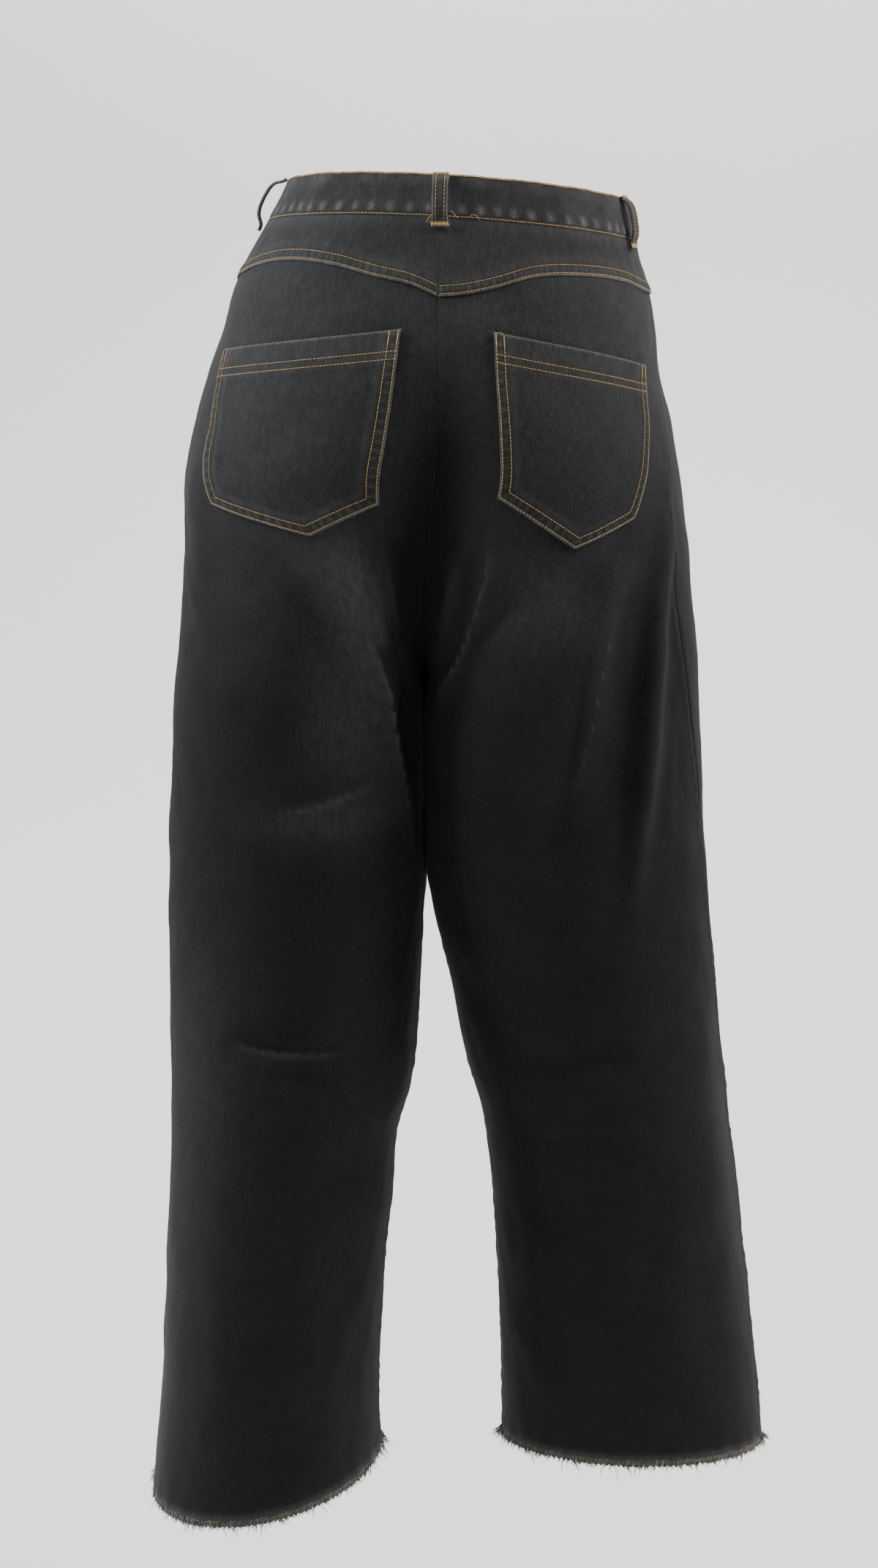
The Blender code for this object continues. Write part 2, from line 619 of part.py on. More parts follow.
def pocket_turn_height(corners, across, down):
    """Turn and height inside a pocket's five corners; across runs from the inner edge to the outer."""
    top_inner, top_outer, low_outer, tip, low_inner = [np.array(c) for c in corners]
    tip_share = (low_inner[0] - tip[0]) / (low_inner[0] - low_outer[0])
    top = top_inner + (top_outer - top_inner) * across
    if across <= tip_share:
        low = low_inner + (tip - low_inner) * (across / tip_share)
    else:
        low = tip + (low_outer - tip) * ((across - tip_share) / (1 - tip_share))
    return top + (low - top) * down


def back_pocket(name, side, material, collection):
    """A patch pocket, made from the back panel's own points moved out."""
    corners = POCKETS[side]
    grid = np.array([[pocket_turn_height(corners, j / POCKET_COLUMNS, i / POCKET_ROWS)
                      for j in range(POCKET_COLUMNS + 1)] for i in range(POCKET_ROWS + 1)])
    turns, heights = grid[..., 0], grid[..., 1]
    normals = cloth_normal(side, turns, heights)
    outer = cloth_point(side, turns, heights) + normals * (LAY_GAP + CLOTH)
    return cloth_wall(name, outer, normals, CLOTH, material, collection)


def fly_shield(material, collection):
    """The plain strip that closes the fly from inside, behind the centre front seam."""
    places = np.linspace(SHIELD_FROM, SHIELD_TO, SHIELD_COLUMNS)
    heights = np.linspace(SHIELD_TOP, SHIELD_FOOT, SHIELD_ROWS)
    outer, normals = [], []
    for height in heights:
        row, row_normals = [], []
        for place in places:
            side, turn = ring_place(place)
            level = np.array(height)
            normal = cloth_normal(side, np.array(turn), level)
            row.append(cloth_point(side, np.array(turn), level) - normal * (CLOTH + LAY_GAP))
            row_normals.append(normal)
        outer.append(row)
        normals.append(row_normals)
    return cloth_wall("fly_shield", np.array(outer), np.array(normals), CLOTH, material, collection)


def waist_button(material, collection):
    """The tack button on the lapped end of the waistband, a turned profile."""
    mesh = bpy.data.meshes.new("waist_button")
    points = [(radius, 0.0, height) for radius, height in BUTTON_PROFILE]
    mesh.from_pydata(points, [(i, i + 1) for i in range(len(points) - 1)], [])
    mesh.materials.append(material)
    piece = bpy.data.objects.new("waist_button", mesh)
    collection.objects.link(piece)
    screw = piece.modifiers.new("Turn", "SCREW")
    screw.steps = BUTTON_STEPS
    screw.render_steps = BUTTON_STEPS
    screw.use_merge_vertices = True
    screw.merge_threshold = 0.0001
    screw.use_smooth_shade = True
    seat, normal = ring_point(0.0, BAND_HEIGHT / 2, BAND_PROUD + BAND_LIFT + SEAM_GAP)
    turn = Vector((0.0, 0.0, 1.0)).rotation_difference(Vector(normal)).to_matrix().to_4x4()
    piece.matrix_world = Matrix.Translation(Vector(seat)) @ turn
    return piece


def frayed_hem(name, side, material, collection):
    """A strip below the cut edge, fused to the roots of the locks that hang from it."""
    bm = bmesh.new()
    rings = []
    steps = []
    for k in range(FRAY_SEGMENTS):
        odd = k % 2
        steps.append((k // 2 * 2 + odd * 2 * FRAY_LOCK_SHARE) / FRAY_SEGMENTS)
    for turn in steps:
        hem = float(hem_height(side, turn)) - SEAM_GAP
        corners = []
        for height in (hem, hem - FRAY_STRIP):
            level = np.array(height)
            outer = cloth_point(side, np.array(turn), level)
            normal = cloth_normal(side, np.array(turn), level)
            corners.append((bm.verts.new(outer), bm.verts.new(outer - normal * CLOTH)))
        rings.append((corners, normal))
    for k in range(FRAY_SEGMENTS):
        (top, low), normal = rings[k]
        (next_top, next_low), _ = rings[(k + 1) % FRAY_SEGMENTS]
        bm.faces.new((top[0], low[0], next_low[0], next_top[0]))
        bm.faces.new((top[1], next_top[1], next_low[1], low[1]))
        bm.faces.new((top[0], next_top[0], next_top[1], top[1]))
        if k % 2:
            bm.faces.new((low[0], low[1], next_low[1], next_low[0]))
            continue
        chance = (k * GOLDEN_TURN) % 1.0
        other = (k * GOLDEN_TURN * GOLDEN_TURN) % 1.0
        turn = steps[k]
        seam = min(abs(turn - s) for s in (0.0, 0.49, 1.0))
        length = FRAY_SHORT + (FRAY_LONG - FRAY_SHORT) * chance
        length += FRAY_TUFT * math.exp(-((seam / TUFT_REACH) ** 2))
        root = [low[0], next_low[0], next_low[1], low[1]]
        centre = sum((v.co for v in root), Vector()) / 4
        sway = Vector(normal) * FRAY_SWAY * (other - 0.4)
        sway += (next_low[0].co - low[0].co) * (chance - 0.5) * 0.5
        for share, width in ((0.5, 0.62), (1.0, 0.22)):
            centre_now = centre + Vector((0, 0, -length * share)) + sway * share**2
            fresh = [bm.verts.new(centre_now + (v.co - centre) * width) for v in (low[0], next_low[0],
                                                                              next_low[1], low[1])]
            for i in range(4):
                j = (i + 1) % 4
                bm.faces.new((root[i], fresh[i], fresh[j], root[j]))
            root = fresh
        bm.faces.new(root)
    return finish_mesh(bm, name, material, collection, sharp=30.0)


def main():
    clear_scene()
    collection = bpy.data.collections.new("jeans")
    bpy.context.scene.collection.children.link(collection)
    denim = new_material("denim", COLOURS["denim"], 0.88, 0.0)
    inside = new_material("denim_inside", COLOURS["denim_inside"], 0.90, 0.0)
    fray = new_material("fray", COLOURS["fray"], 0.95, 0.0)
    metal = new_material("button_metal", COLOURS["metal"], 0.38, 1.0)
    for side, word in SIDE_NAMES.items():
        leg_panel("back_" + word, side, True, denim, collection)
        leg_panel("front_" + word, side, False, denim, collection)
        yoke("yoke_" + word, side, denim, collection)
        back_pocket("pocket_" + word, side, denim, collection)
        frayed_hem("fringe_" + word, side, fray, collection)
    waistband(denim, collection)
    for name, place, stand_off in LOOPS:
        belt_loop(name, place, stand_off, denim, collection)
    fly_shield(inside, collection)
    waist_button(metal, collection)


main()
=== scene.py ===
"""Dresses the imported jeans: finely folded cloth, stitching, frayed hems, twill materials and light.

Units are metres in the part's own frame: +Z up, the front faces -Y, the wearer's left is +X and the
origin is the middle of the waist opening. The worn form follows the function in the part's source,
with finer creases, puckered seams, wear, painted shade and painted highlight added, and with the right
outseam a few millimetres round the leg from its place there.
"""
import math

import bpy
import numpy as np
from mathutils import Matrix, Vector


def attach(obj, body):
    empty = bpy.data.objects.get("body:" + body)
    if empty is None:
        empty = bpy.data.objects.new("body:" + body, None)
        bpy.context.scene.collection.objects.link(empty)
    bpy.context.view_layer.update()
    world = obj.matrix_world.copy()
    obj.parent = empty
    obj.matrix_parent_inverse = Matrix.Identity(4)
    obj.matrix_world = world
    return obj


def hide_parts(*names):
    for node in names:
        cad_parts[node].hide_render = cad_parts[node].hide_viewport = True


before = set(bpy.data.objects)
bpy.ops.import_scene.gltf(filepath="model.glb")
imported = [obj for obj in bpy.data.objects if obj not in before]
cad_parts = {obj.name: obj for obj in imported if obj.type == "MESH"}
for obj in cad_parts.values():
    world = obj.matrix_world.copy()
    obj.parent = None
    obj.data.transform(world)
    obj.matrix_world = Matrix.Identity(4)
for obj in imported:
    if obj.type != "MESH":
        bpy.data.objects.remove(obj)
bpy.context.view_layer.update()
chance = np.random.default_rng(7)

# Cloth and seams
CLOTH = 0.0015
BAND_THICKNESS = 0.0030
HALF_GAP = 0.00004
LAY_GAP = 0.00095
YOKE_PROUD = 0.0012
BAND_PROUD = 0.0014

# Spacing of the cloth's points: how long a row is taken to be, the usual step, and fine steps at edges
PANEL_RUN, YOKE_RUN = 0.30, 0.26
REAR_STEP, FRONT_STEP, YOKE_STEP = 0.0030, 0.0042, 0.0026
EDGE_STEPS = (0.0, 0.0007, 0.0017, 0.0031, 0.0049, 0.0072, 0.0101)
POCKET_WIDTH_RUN, POCKET_LENGTH_RUN, POCKET_STEP = 0.135, 0.130, 0.0022
POCKET_EDGE_STEPS = (0.0, 0.0005, 0.0012, 0.0019, 0.0030, 0.0044, 0.0058, 0.0068, 0.0078, 0.0090,
                     0.0104)

# Length of one pucker along each kind of seam
SEAM_PUCKER, YOKE_PUCKER, POCKET_PUCKER, BAND_PUCKER = 0.0155, 0.0062, 0.0068, 0.0118

# The two sides, as the sign of X
LEFT, RIGHT = 1, -1
SIDE_NAMES = {LEFT: "left", RIGHT: "right"}

# The fork, where the four panels meet
FORK_HEIGHT = -0.335
FORK_DEPTH = 0.005
FORK_SHIFT = 0.018
SHIFT_START = -0.100
HIP_HEIGHT = -0.160
REAR_DIP_START = -0.100
FRONT_DIP_START = -0.190
SECTION_FULLNESS = 0.04
RUN_PAST_MIDDLE = 0.085
REAR_FADE = 0.24
FRONT_FADE = 0.20
FADE_AT_FORK = 0.30
FADE_POWER = 1.7
PAST_POWER = 1.5
SWING_POWER = 4

# Sections of the hips: height, half_left, half_right, front, back, rear_seam
PELVIS = (
    (0.060, 0.1156, 0.1220, 0.089, 0.0935, 0.093),
    (0.043, 0.1234, 0.1262, 0.093, 0.0985, 0.098),
    (0.013, 0.1388, 0.1330, 0.099, 0.1070, 0.106),
    (-0.012, 0.1531, 0.1375, 0.103, 0.1140, 0.112),
    (-0.040, 0.1676, 0.1465, 0.107, 0.1210, 0.118),
    (-0.070, 0.1759, 0.1515, 0.110, 0.1280, 0.123),
    (-0.101, 0.1871, 0.1552, 0.112, 0.1335, 0.126),
    (-0.136, 0.1976, 0.1640, 0.114, 0.1380, 0.127),
    (-0.175, 0.2061, 0.1712, 0.115, 0.1410, 0.127),
    (-0.216, 0.2076, 0.1772, 0.115, 0.1405, 0.127),
    (-0.265, 0.2096, 0.1822, 0.114, 0.1370, 0.127),
    (-0.311, 0.2136, 0.1872, 0.112, 0.1320, 0.127),
    (-0.335, 0.2161, 0.1885, 0.112, 0.1300, 0.127),
    (-0.400, 0.2198, 0.1919, 0.112, 0.1300, 0.127),
)

# Sections of each leg: height, outer, inner, middle_depth, half_depth
LEFT_LEG = (
    (-0.270, 0.2103, 0.0180, 0.0045, 0.1095),
    (-0.335, 0.2163, 0.0180, 0.0050, 0.1080),
    (-0.400, 0.2200, 0.0160, 0.0060, 0.1050),
    (-0.470, 0.2233, 0.0190, 0.0075, 0.1030),
    (-0.556, 0.2242, 0.0250, 0.0090, 0.1010),
    (-0.627, 0.2240, 0.0290, 0.0105, 0.0990),
    (-0.665, 0.2240, 0.0350, 0.0115, 0.0980),
    (-0.700, 0.2243, 0.0448, 0.0120, 0.0975),
    (-0.745, 0.2263, 0.0480, 0.0130, 0.0975),
    (-0.800, 0.2293, 0.0540, 0.0145, 0.0980),
    (-0.860, 0.2319, 0.0575, 0.0160, 0.0990),
    (-0.915, 0.2350, 0.0597, 0.0175, 0.1000),
    (-0.965, 0.2398, 0.0580, 0.0190, 0.1015),
    (-1.020, 0.2453, 0.0545, 0.0200, 0.1035),
)
RIGHT_LEG = (
    (-0.270, 0.1835, -0.0180, 0.0095, 0.1100),
    (-0.335, 0.1885, -0.0180, 0.0050, 0.1080),
    (-0.400, 0.1919, -0.0235, 0.0000, 0.1050),
    (-0.470, 0.1957, -0.0242, -0.0050, 0.1020),
    (-0.528, 0.2010, -0.0145, -0.0090, 0.0990),
    (-0.584, 0.2060, -0.0020, -0.0135, 0.0960),
    (-0.644, 0.2125, 0.0090, -0.0180, 0.0935),
    (-0.683, 0.2168, 0.0205, -0.0210, 0.0920),
    (-0.741, 0.2247, 0.0280, -0.0255, 0.0910),
    (-0.812, 0.2327, 0.0327, -0.0300, 0.0910),
    (-0.904, 0.2434, 0.0360, -0.0355, 0.0920),
    (-1.000, 0.2525, 0.0372, -0.0405, 0.0930),
)

# Where the thighs press together
PRESS_LEAN = 0.029
PRESS_GAP = 0.0004
PRESS_ROUND = 0.0012
PRESS_FROM = 0.030

# The dip of the cloth along the rear rise seam
CLEFT_TOP, CLEFT_FOOT = -0.070, -0.375
CLEFT_DEPTH, CLEFT_REACH = 0.0085, 0.024

# Outseam: height, and its turn on the left and on the right
OUTSEAM = (
    (0.060, 0.470, 0.500),
    (-0.042, 0.470, 0.515),
    (-0.120, 0.470, 0.570),
    (-0.170, 0.472, 0.598),
    (-0.207, 0.475, 0.600),
    (-0.255, 0.480, 0.582),
    (-0.305, 0.480, 0.568),
    (-0.355, 0.480, 0.554),
    (-0.419, 0.480, 0.537),
    (-0.475, 0.480, 0.524),
    (-0.600, 0.480, 0.506),
    (-1.050, 0.480, 0.500),
)

# Yoke seam: turn, and its height on the left and on the right
YOKE_SEAM = (
    (0.44, -0.0365, -0.0465),
    (0.58, -0.0280, -0.0380),
    (0.67, -0.0200, -0.0300),
    (0.76, -0.0152, -0.0258),
    (0.84, -0.0183, -0.0262),
    (0.91, -0.0262, -0.0340),
    (0.96, -0.0315, -0.0385),
    (1.00, -0.0400, -0.0400),
)

# Waistband
BAND_HEIGHT = 0.0312
BAND_MIDDLE = 0.0056
BAND_TILT_X = 0.050
BAND_TILT_Y = 0.087
BAND_SIDE_DIP = 0.0040
BAND_LAP_END = -0.050
BAND_UNDER_END = 2.030
BAND_LIFT = 0.0034
BAND_LIFT_FROM = 0.120
BAND_LIFT_TO = 0.045

# Hems: height on the leg's middle line, slope across, slope fore and aft
HEM = {LEFT: (-0.977, -0.175, -0.090), RIGHT: (-0.963, 0.0, 0.115)}
FIRST_LEVEL = -0.075

# Folds: side, three points of turn and height, reach to each side, rise at the middle
FOLDS = (
    (LEFT, 0.880, -0.225, 0.884, -0.290, 0.845, -0.360, 0.022, 0.016, 0.0050),
    (LEFT, 0.925, -0.290, 0.880, -0.355, 0.930, -0.460, 0.015, 0.009, 0.0048),
    (LEFT, 0.800, -0.250, 0.815, -0.320, 0.780, -0.400, 0.020, 0.020, -0.0030),
    (LEFT, 0.730, -0.428, 0.800, -0.420, 0.868, -0.398, 0.010, 0.013, -0.0026),
    (LEFT, 0.680, -0.604, 0.750, -0.611, 0.835, -0.613, 0.010, 0.013, -0.0032),
    (LEFT, 0.740, -0.628, 0.795, -0.638, 0.850, -0.648, 0.009, 0.012, -0.0026),
    (LEFT, 0.680, -0.140, 0.640, -0.210, 0.610, -0.280, 0.020, 0.020, 0.0030),
    (LEFT, 0.320, -0.610, 0.260, -0.625, 0.190, -0.600, 0.012, 0.015, -0.0034),
    (LEFT, 0.300, -0.655, 0.240, -0.668, 0.180, -0.650, 0.012, 0.014, -0.0030),
    (LEFT, 0.110, -0.240, 0.170, -0.265, 0.250, -0.275, 0.012, 0.016, -0.0036),
    (LEFT, 0.090, -0.280, 0.160, -0.320, 0.240, -0.345, 0.014, 0.018, -0.0032),
    (RIGHT, 0.710, -0.228, 0.717, -0.305, 0.740, -0.440, 0.020, 0.014, 0.0052),
    (RIGHT, 0.626, -0.190, 0.638, -0.330, 0.672, -0.520, 0.014, 0.010, 0.0048),
    (RIGHT, 0.672, -0.230, 0.676, -0.320, 0.700, -0.440, 0.012, 0.012, -0.0034),
    (RIGHT, 0.820, -0.248, 0.860, -0.284, 0.905, -0.325, 0.018, 0.018, -0.0040),
    (RIGHT, 0.925, -0.222, 0.922, -0.282, 0.885, -0.350, 0.016, 0.012, 0.0040),
    (RIGHT, 0.800, -0.330, 0.790, -0.400, 0.800, -0.470, 0.022, 0.022, -0.0026),
    (RIGHT, 0.690, -0.610, 0.760, -0.622, 0.840, -0.615, 0.012, 0.015, -0.0030),
    (RIGHT, 0.330, -0.600, 0.250, -0.585, 0.180, -0.560, 0.012, 0.015, -0.0038),
    (RIGHT, 0.320, -0.650, 0.250, -0.640, 0.170, -0.610, 0.012, 0.015, -0.0032),
    (RIGHT, 0.100, -0.235, 0.180, -0.250, 0.280, -0.245, 0.012, 0.018, -0.0040),
    (RIGHT, 0.090, -0.275, 0.170, -0.305, 0.270, -0.315, 0.014, 0.018, -0.0036),
)

# Finer creases, in the same columns
CREASES = (
    (LEFT, 0.945, -0.290, 0.930, -0.360, 0.935, -0.440, 0.016, 0.016, 0.0060),
    (LEFT, 0.905, -0.320, 0.905, -0.390, 0.950, -0.470, 0.006, 0.006, -0.0030),
    (LEFT, 0.905, -0.215, 0.900, -0.265, 0.880, -0.330, 0.014, 0.010, 0.0030),
    (RIGHT, 0.950, -0.290, 0.935, -0.360, 0.960, -0.430, 0.016, 0.016, 0.0060),
    (RIGHT, 0.640, -0.230, 0.652, -0.320, 0.680, -0.450, 0.009, 0.009, -0.0034),
    (RIGHT, 0.590, -0.240, 0.590, -0.340, 0.600, -0.440, 0.012, 0.012, -0.0022),
    (LEFT, 0.922, -0.286, 0.886, -0.346, 0.934, -0.452, 0.0045, 0.0040, 0.0011),
    (LEFT, 0.935, -0.300, 0.902, -0.362, 0.950, -0.440, 0.0060, 0.0050, -0.0013),
    (LEFT, 0.760, -0.180, 0.800, -0.260, 0.790, -0.340, 0.0120, 0.0100, -0.0008),
    (LEFT, 0.735, -0.424, 0.795, -0.419, 0.860, -0.400, 0.0035, 0.0050, -0.0009),
    (LEFT, 0.640, -0.470, 0.720, -0.455, 0.800, -0.462, 0.0060, 0.0080, -0.0006),
    (LEFT, 0.690, -0.603, 0.755, -0.610, 0.830, -0.612, 0.0035, 0.0055, -0.0010),
    (LEFT, 0.742, -0.627, 0.795, -0.637, 0.846, -0.647, 0.0035, 0.0050, -0.0009),
    (LEFT, 0.600, -0.640, 0.680, -0.660, 0.760, -0.668, 0.0060, 0.0080, -0.0007),
    (LEFT, 0.870, -0.560, 0.900, -0.610, 0.940, -0.640, 0.0060, 0.0080, 0.0010),
    (LEFT, 0.980, -0.230, 0.960, -0.300, 0.975, -0.350, 0.0060, 0.0060, -0.0010),
    (LEFT, 0.560, -0.200, 0.600, -0.260, 0.640, -0.300, 0.0080, 0.0080, 0.0009),
    (LEFT, 0.900, -0.040, 0.860, -0.052, 0.800, -0.050, 0.0050, 0.0070, 0.0006),
    (LEFT, 0.930, -0.800, 0.880, -0.860, 0.870, -0.940, 0.0120, 0.0160, 0.0012),
    (LEFT, 0.650, -0.760, 0.690, -0.850, 0.660, -0.940, 0.0180, 0.0140, 0.0014),
    (RIGHT, 0.624, -0.200, 0.637, -0.330, 0.668, -0.500, 0.0045, 0.0040, 0.0011),
    (RIGHT, 0.640, -0.215, 0.653, -0.330, 0.684, -0.490, 0.0055, 0.0060, -0.0011),
    (RIGHT, 0.706, -0.232, 0.714, -0.305, 0.738, -0.425, 0.0050, 0.0045, 0.0011),
    (RIGHT, 0.726, -0.236, 0.732, -0.310, 0.758, -0.410, 0.0070, 0.0060, -0.0010),
    (RIGHT, 0.930, -0.235, 0.922, -0.290, 0.882, -0.350, 0.0060, 0.0050, 0.0012),
    (RIGHT, 0.790, -0.245, 0.850, -0.280, 0.890, -0.310, 0.0060, 0.0080, -0.0008),
    (RIGHT, 0.860, -0.380, 0.800, -0.420, 0.760, -0.480, 0.0080, 0.0100, -0.0009),
    (RIGHT, 0.580, -0.330, 0.600, -0.400, 0.610, -0.470, 0.0060, 0.0060, 0.0010),
    (RIGHT, 0.700, -0.612, 0.760, -0.620, 0.830, -0.614, 0.0045, 0.0060, -0.0009),
    (RIGHT, 0.600, -0.560, 0.660, -0.575, 0.720, -0.570, 0.0060, 0.0080, -0.0007),
    (RIGHT, 0.900, -0.700, 0.860, -0.780, 0.900, -0.880, 0.0140, 0.0160, 0.0014),
    (RIGHT, 0.640, -0.720, 0.670, -0.820, 0.640, -0.920, 0.0180, 0.0140, 0.0014),
    (LEFT, 0.040, -0.190, 0.120, -0.215, 0.220, -0.205, 0.0060, 0.0080, -0.0012),
    (LEFT, 0.130, -0.300, 0.210, -0.315, 0.300, -0.300, 0.0070, 0.0080, -0.0010),
    (LEFT, 0.350, -0.575, 0.280, -0.590, 0.200, -0.570, 0.0060, 0.0070, -0.0011),
    (LEFT, 0.340, -0.690, 0.270, -0.705, 0.190, -0.690, 0.0060, 0.0070, -0.0010),
    (RIGHT, 0.040, -0.185, 0.120, -0.200, 0.220, -0.185, 0.0060, 0.0080, -0.0012),
    (RIGHT, 0.130, -0.290, 0.210, -0.300, 0.300, -0.275, 0.0070, 0.0080, -0.0010),
    (RIGHT, 0.350, -0.560, 0.280, -0.545, 0.200, -0.530, 0.0060, 0.0070, -0.0011),
    (RIGHT, 0.340, -0.690, 0.270, -0.680, 0.190, -0.655, 0.0060, 0.0070, -0.0010),
)
# Straight pieces a fold's curve is measured with, the fade to a panel's edge and to a fold's ends
FOLD_STEPS, CREASE_STEPS = 12, 24
FOLD_EDGE = 0.035
FOLD_GAIN = 1.45
FOLD_END_POWER, CREASE_END_POWER = 0.7, 0.6
CREST_WEAR, CREST_SHARE = 40.0, 0.55
CREASE_ROUND, CREASE_PALE, CREASE_PALE_REACH = 0.0013, 0.38, 0.0026

# Cloth from turn 0 to turn 1 at the thigh and at the waist
LEG_ROUND = 0.62
HIP_ROUND = 0.48
POCKET_STRETCH = 1.02

# Sharp creases: side, three points of turn and height, soft reach, steep reach, which side is steep,
# rise at the crest and how much shade is painted on the steep side
EDGES = (
    (LEFT, 0.934, -0.215, 0.933, -0.258, 0.926, -0.318, 0.018, 0.0060, 1, 0.0046, 0.9),
    (LEFT, 0.878, -0.290, 0.882, -0.363, 0.938, -0.480, 0.016, 0.0055, 1, 0.0052, 0.9),
    (LEFT, 0.745, -0.424, 0.800, -0.418, 0.862, -0.404, 0.008, 0.0050, 1, 0.0010, 0.1),
    (LEFT, 0.690, -0.606, 0.755, -0.612, 0.835, -0.613, 0.008, 0.0050, 1, 0.0010, 0.1),
    (RIGHT, 0.909, -0.215, 0.884, -0.283, 0.948, -0.400, 0.018, 0.0060, 1, 0.0048, 0.9),
    (RIGHT, 0.682, -0.232, 0.699, -0.325, 0.732, -0.425, 0.014, 0.0070, -1, 0.0026, 0.3),
    (RIGHT, 0.610, -0.165, 0.620, -0.301, 0.662, -0.490, 0.014, 0.0050, -1, 0.0040, 0.5),
    (LEFT, 0.060, -0.190, 0.150, -0.222, 0.270, -0.232, 0.013, 0.0060, -1, 0.0026, 0.3),
    (LEFT, 0.050, -0.240, 0.130, -0.283, 0.240, -0.312, 0.013, 0.0060, -1, 0.0030, 0.4),
    (LEFT, 0.150, -0.340, 0.190, -0.480, 0.205, -0.640, 0.016, 0.0070, 1, 0.0030, 0.3),
    (LEFT, 0.140, -0.590, 0.230, -0.606, 0.330, -0.600, 0.010, 0.0060, -1, 0.0014, 0.1),
    (LEFT, 0.330, -0.130, 0.360, -0.260, 0.370, -0.420, 0.014, 0.0070, -1, 0.0018, 0.2),
    (RIGHT, 0.055, -0.205, 0.130, -0.232, 0.235, -0.238, 0.013, 0.0060, -1, 0.0024, 0.3),
    (RIGHT, 0.055, -0.255, 0.145, -0.306, 0.275, -0.330, 0.013, 0.0060, -1, 0.0032, 0.4),
    (RIGHT, 0.190, -0.370, 0.215, -0.530, 0.200, -0.720, 0.016, 0.0070, 1, 0.0028, 0.3),
    (RIGHT, 0.160, -0.570, 0.240, -0.578, 0.310, -0.592, 0.010, 0.0060, -1, 0.0014, 0.1),
    (RIGHT, 0.370, -0.150, 0.390, -0.250, 0.385, -0.370, 0.014, 0.0070, -1, 0.0020, 0.2),
)

# Painted shade, darker areas in the hollow along the rear seam, between the thighs and on the backs of the
# hips and thighs: side, turn, height, reach round, reach up, amount
PAINTED_SHADE_AREAS = (
    (LEFT, 1.000, -0.200, 0.026, 0.110, 0.80),
    (LEFT, 0.975, -0.320, 0.026, 0.120, 0.90),
    (RIGHT, 1.000, -0.200, 0.026, 0.110, 0.80),
    (RIGHT, 0.965, -0.320, 0.024, 0.120, 0.90),
    (RIGHT, 0.990, -0.480, 0.040, 0.130, 0.35),
    (LEFT, 0.990, -0.500, 0.040, 0.150, 0.35),
    (RIGHT, 0.975, -0.170, 0.030, 0.070, 0.40),
    (LEFT, 0.620, -0.300, 0.055, 0.150, 0.35),
    (LEFT, 0.570, -0.430, 0.045, 0.130, 0.25),
    (RIGHT, 0.600, -0.290, 0.060, 0.150, 0.45),
    (RIGHT, 0.560, -0.450, 0.050, 0.130, 0.30),
    (RIGHT, 0.700, -0.170, 0.060, 0.090, 0.25),
)

# Paler areas, partly wear and partly painted highlight along the lit outer edges and ridges of the thighs:
# side, turn, height, reach round, reach up, amount
WEAR_AND_HIGHLIGHT = (
    (LEFT, 0.49, -0.62, 0.024, 0.300, 0.52),
    (LEFT, 0.49, -0.24, 0.020, 0.160, 0.35),
    (LEFT, 0.53, -0.90, 0.034, 0.130, 0.48),
    (LEFT, 0.62, -0.60, 0.050, 0.250, 0.12),
    (LEFT, 0.86, -0.25, 0.030, 0.060, 0.30),
    (LEFT, 0.83, -0.36, 0.040, 0.070, 0.22),
    (LEFT, 0.78, -0.14, 0.050, 0.050, 0.10),
    (LEFT, 0.78, -0.43, 0.060, 0.020, 0.16),
    (LEFT, 0.25, -0.40, 0.050, 0.160, 0.24),
    (LEFT, 0.25, -0.62, 0.040, 0.060, 0.16),
    (RIGHT, 0.76, -0.26, 0.045, 0.045, 0.26),
    (RIGHT, 0.90, -0.27, 0.012, 0.050, 0.25),
    (RIGHT, 0.66, -0.36, 0.020, 0.120, 0.12),
    (RIGHT, 0.72, -0.12, 0.040, 0.050, 0.10),
    (RIGHT, 0.55, -0.70, 0.020, 0.180, 0.22),
    (RIGHT, 0.25, -0.40, 0.050, 0.160, 0.24),
    (RIGHT, 0.25, -0.60, 0.040, 0.060, 0.16),
)

# Back pockets: top inner, top outer, low outer, tip and low inner corners as turn and height
POCKETS = {
    LEFT: ((0.952, -0.063), (0.657, -0.082), (0.697, -0.194), (0.837, -0.213), (0.936, -0.189)),
    RIGHT: ((0.915, -0.065), (0.629, -0.092), (0.697, -0.201), (0.777, -0.221), (0.907, -0.183)),
}

# Belt loops: name, place round the waist, how far the middle stands off
LOOPS = (
    ("loop_front_left", 0.270, 0.0055),
    ("loop_back_left", 0.540, 0.0080),
    ("loop_back", 1.000, 0.0060),
    ("loop_back_right", 1.405, 0.0052),
    ("loop_front_right", 1.730, 0.0055),
)
LOOP_WIDTH = 0.0115
LOOP_THICKNESS = 0.0018
LOOP_SEAT = 0.0005
LOOP_PROFILE = (
    (-0.0070, 0.0), (-0.0030, 0.0), (0.0010, 0.7), (0.0060, 1.0), (0.0140, 1.08), (0.0220, 1.0),
    (0.0270, 0.7), (0.0296, 0.0), (0.0316, 0.0),
)

# Fly shield
SHIELD_FROM, SHIELD_TO = -0.020, 0.085
SHIELD_TOP, SHIELD_FOOT = -0.016, -0.150

# Fly stitching: width, heights of its foot and of the start of its bend, where its foot ends
FLY_WIDTH, FLY_FOOT, FLY_BEND, FLY_INNER = 0.0400, -0.158, -0.118, 0.0015

# Stitching
STITCH_PITCH = 0.0027
STITCH_LENGTH = 0.0023
STITCH_THICK = 0.00062
STITCH_RISE = 0.2

# The camera: where it stands, which way it looks and how long its lens is
CAMERA_TURN = math.radians(6.0)
CAMERA_DROP = math.radians(11.2)
CAMERA_DISTANCE = 2.35
CAMERA_SIDE, CAMERA_HEIGHT = 0.012, 0.045
SENSOR_WIDTH = 36.0
FOCAL_PIXELS, PHOTO_PIXELS = 4196.0, 2143.0
CAMERA_LENS = SENSOR_WIDTH * FOCAL_PIXELS / PHOTO_PIXELS
WORLD_COLOUR = (0.93, 0.96, 1.0, 1.0)
WORLD_STRENGTH = 0.14


def ease(share):
    """Smooth step from 0 to 1."""
    share = np.clip(share, 0.0, 1.0)
    return share * share * (3.0 - 2.0 * share)


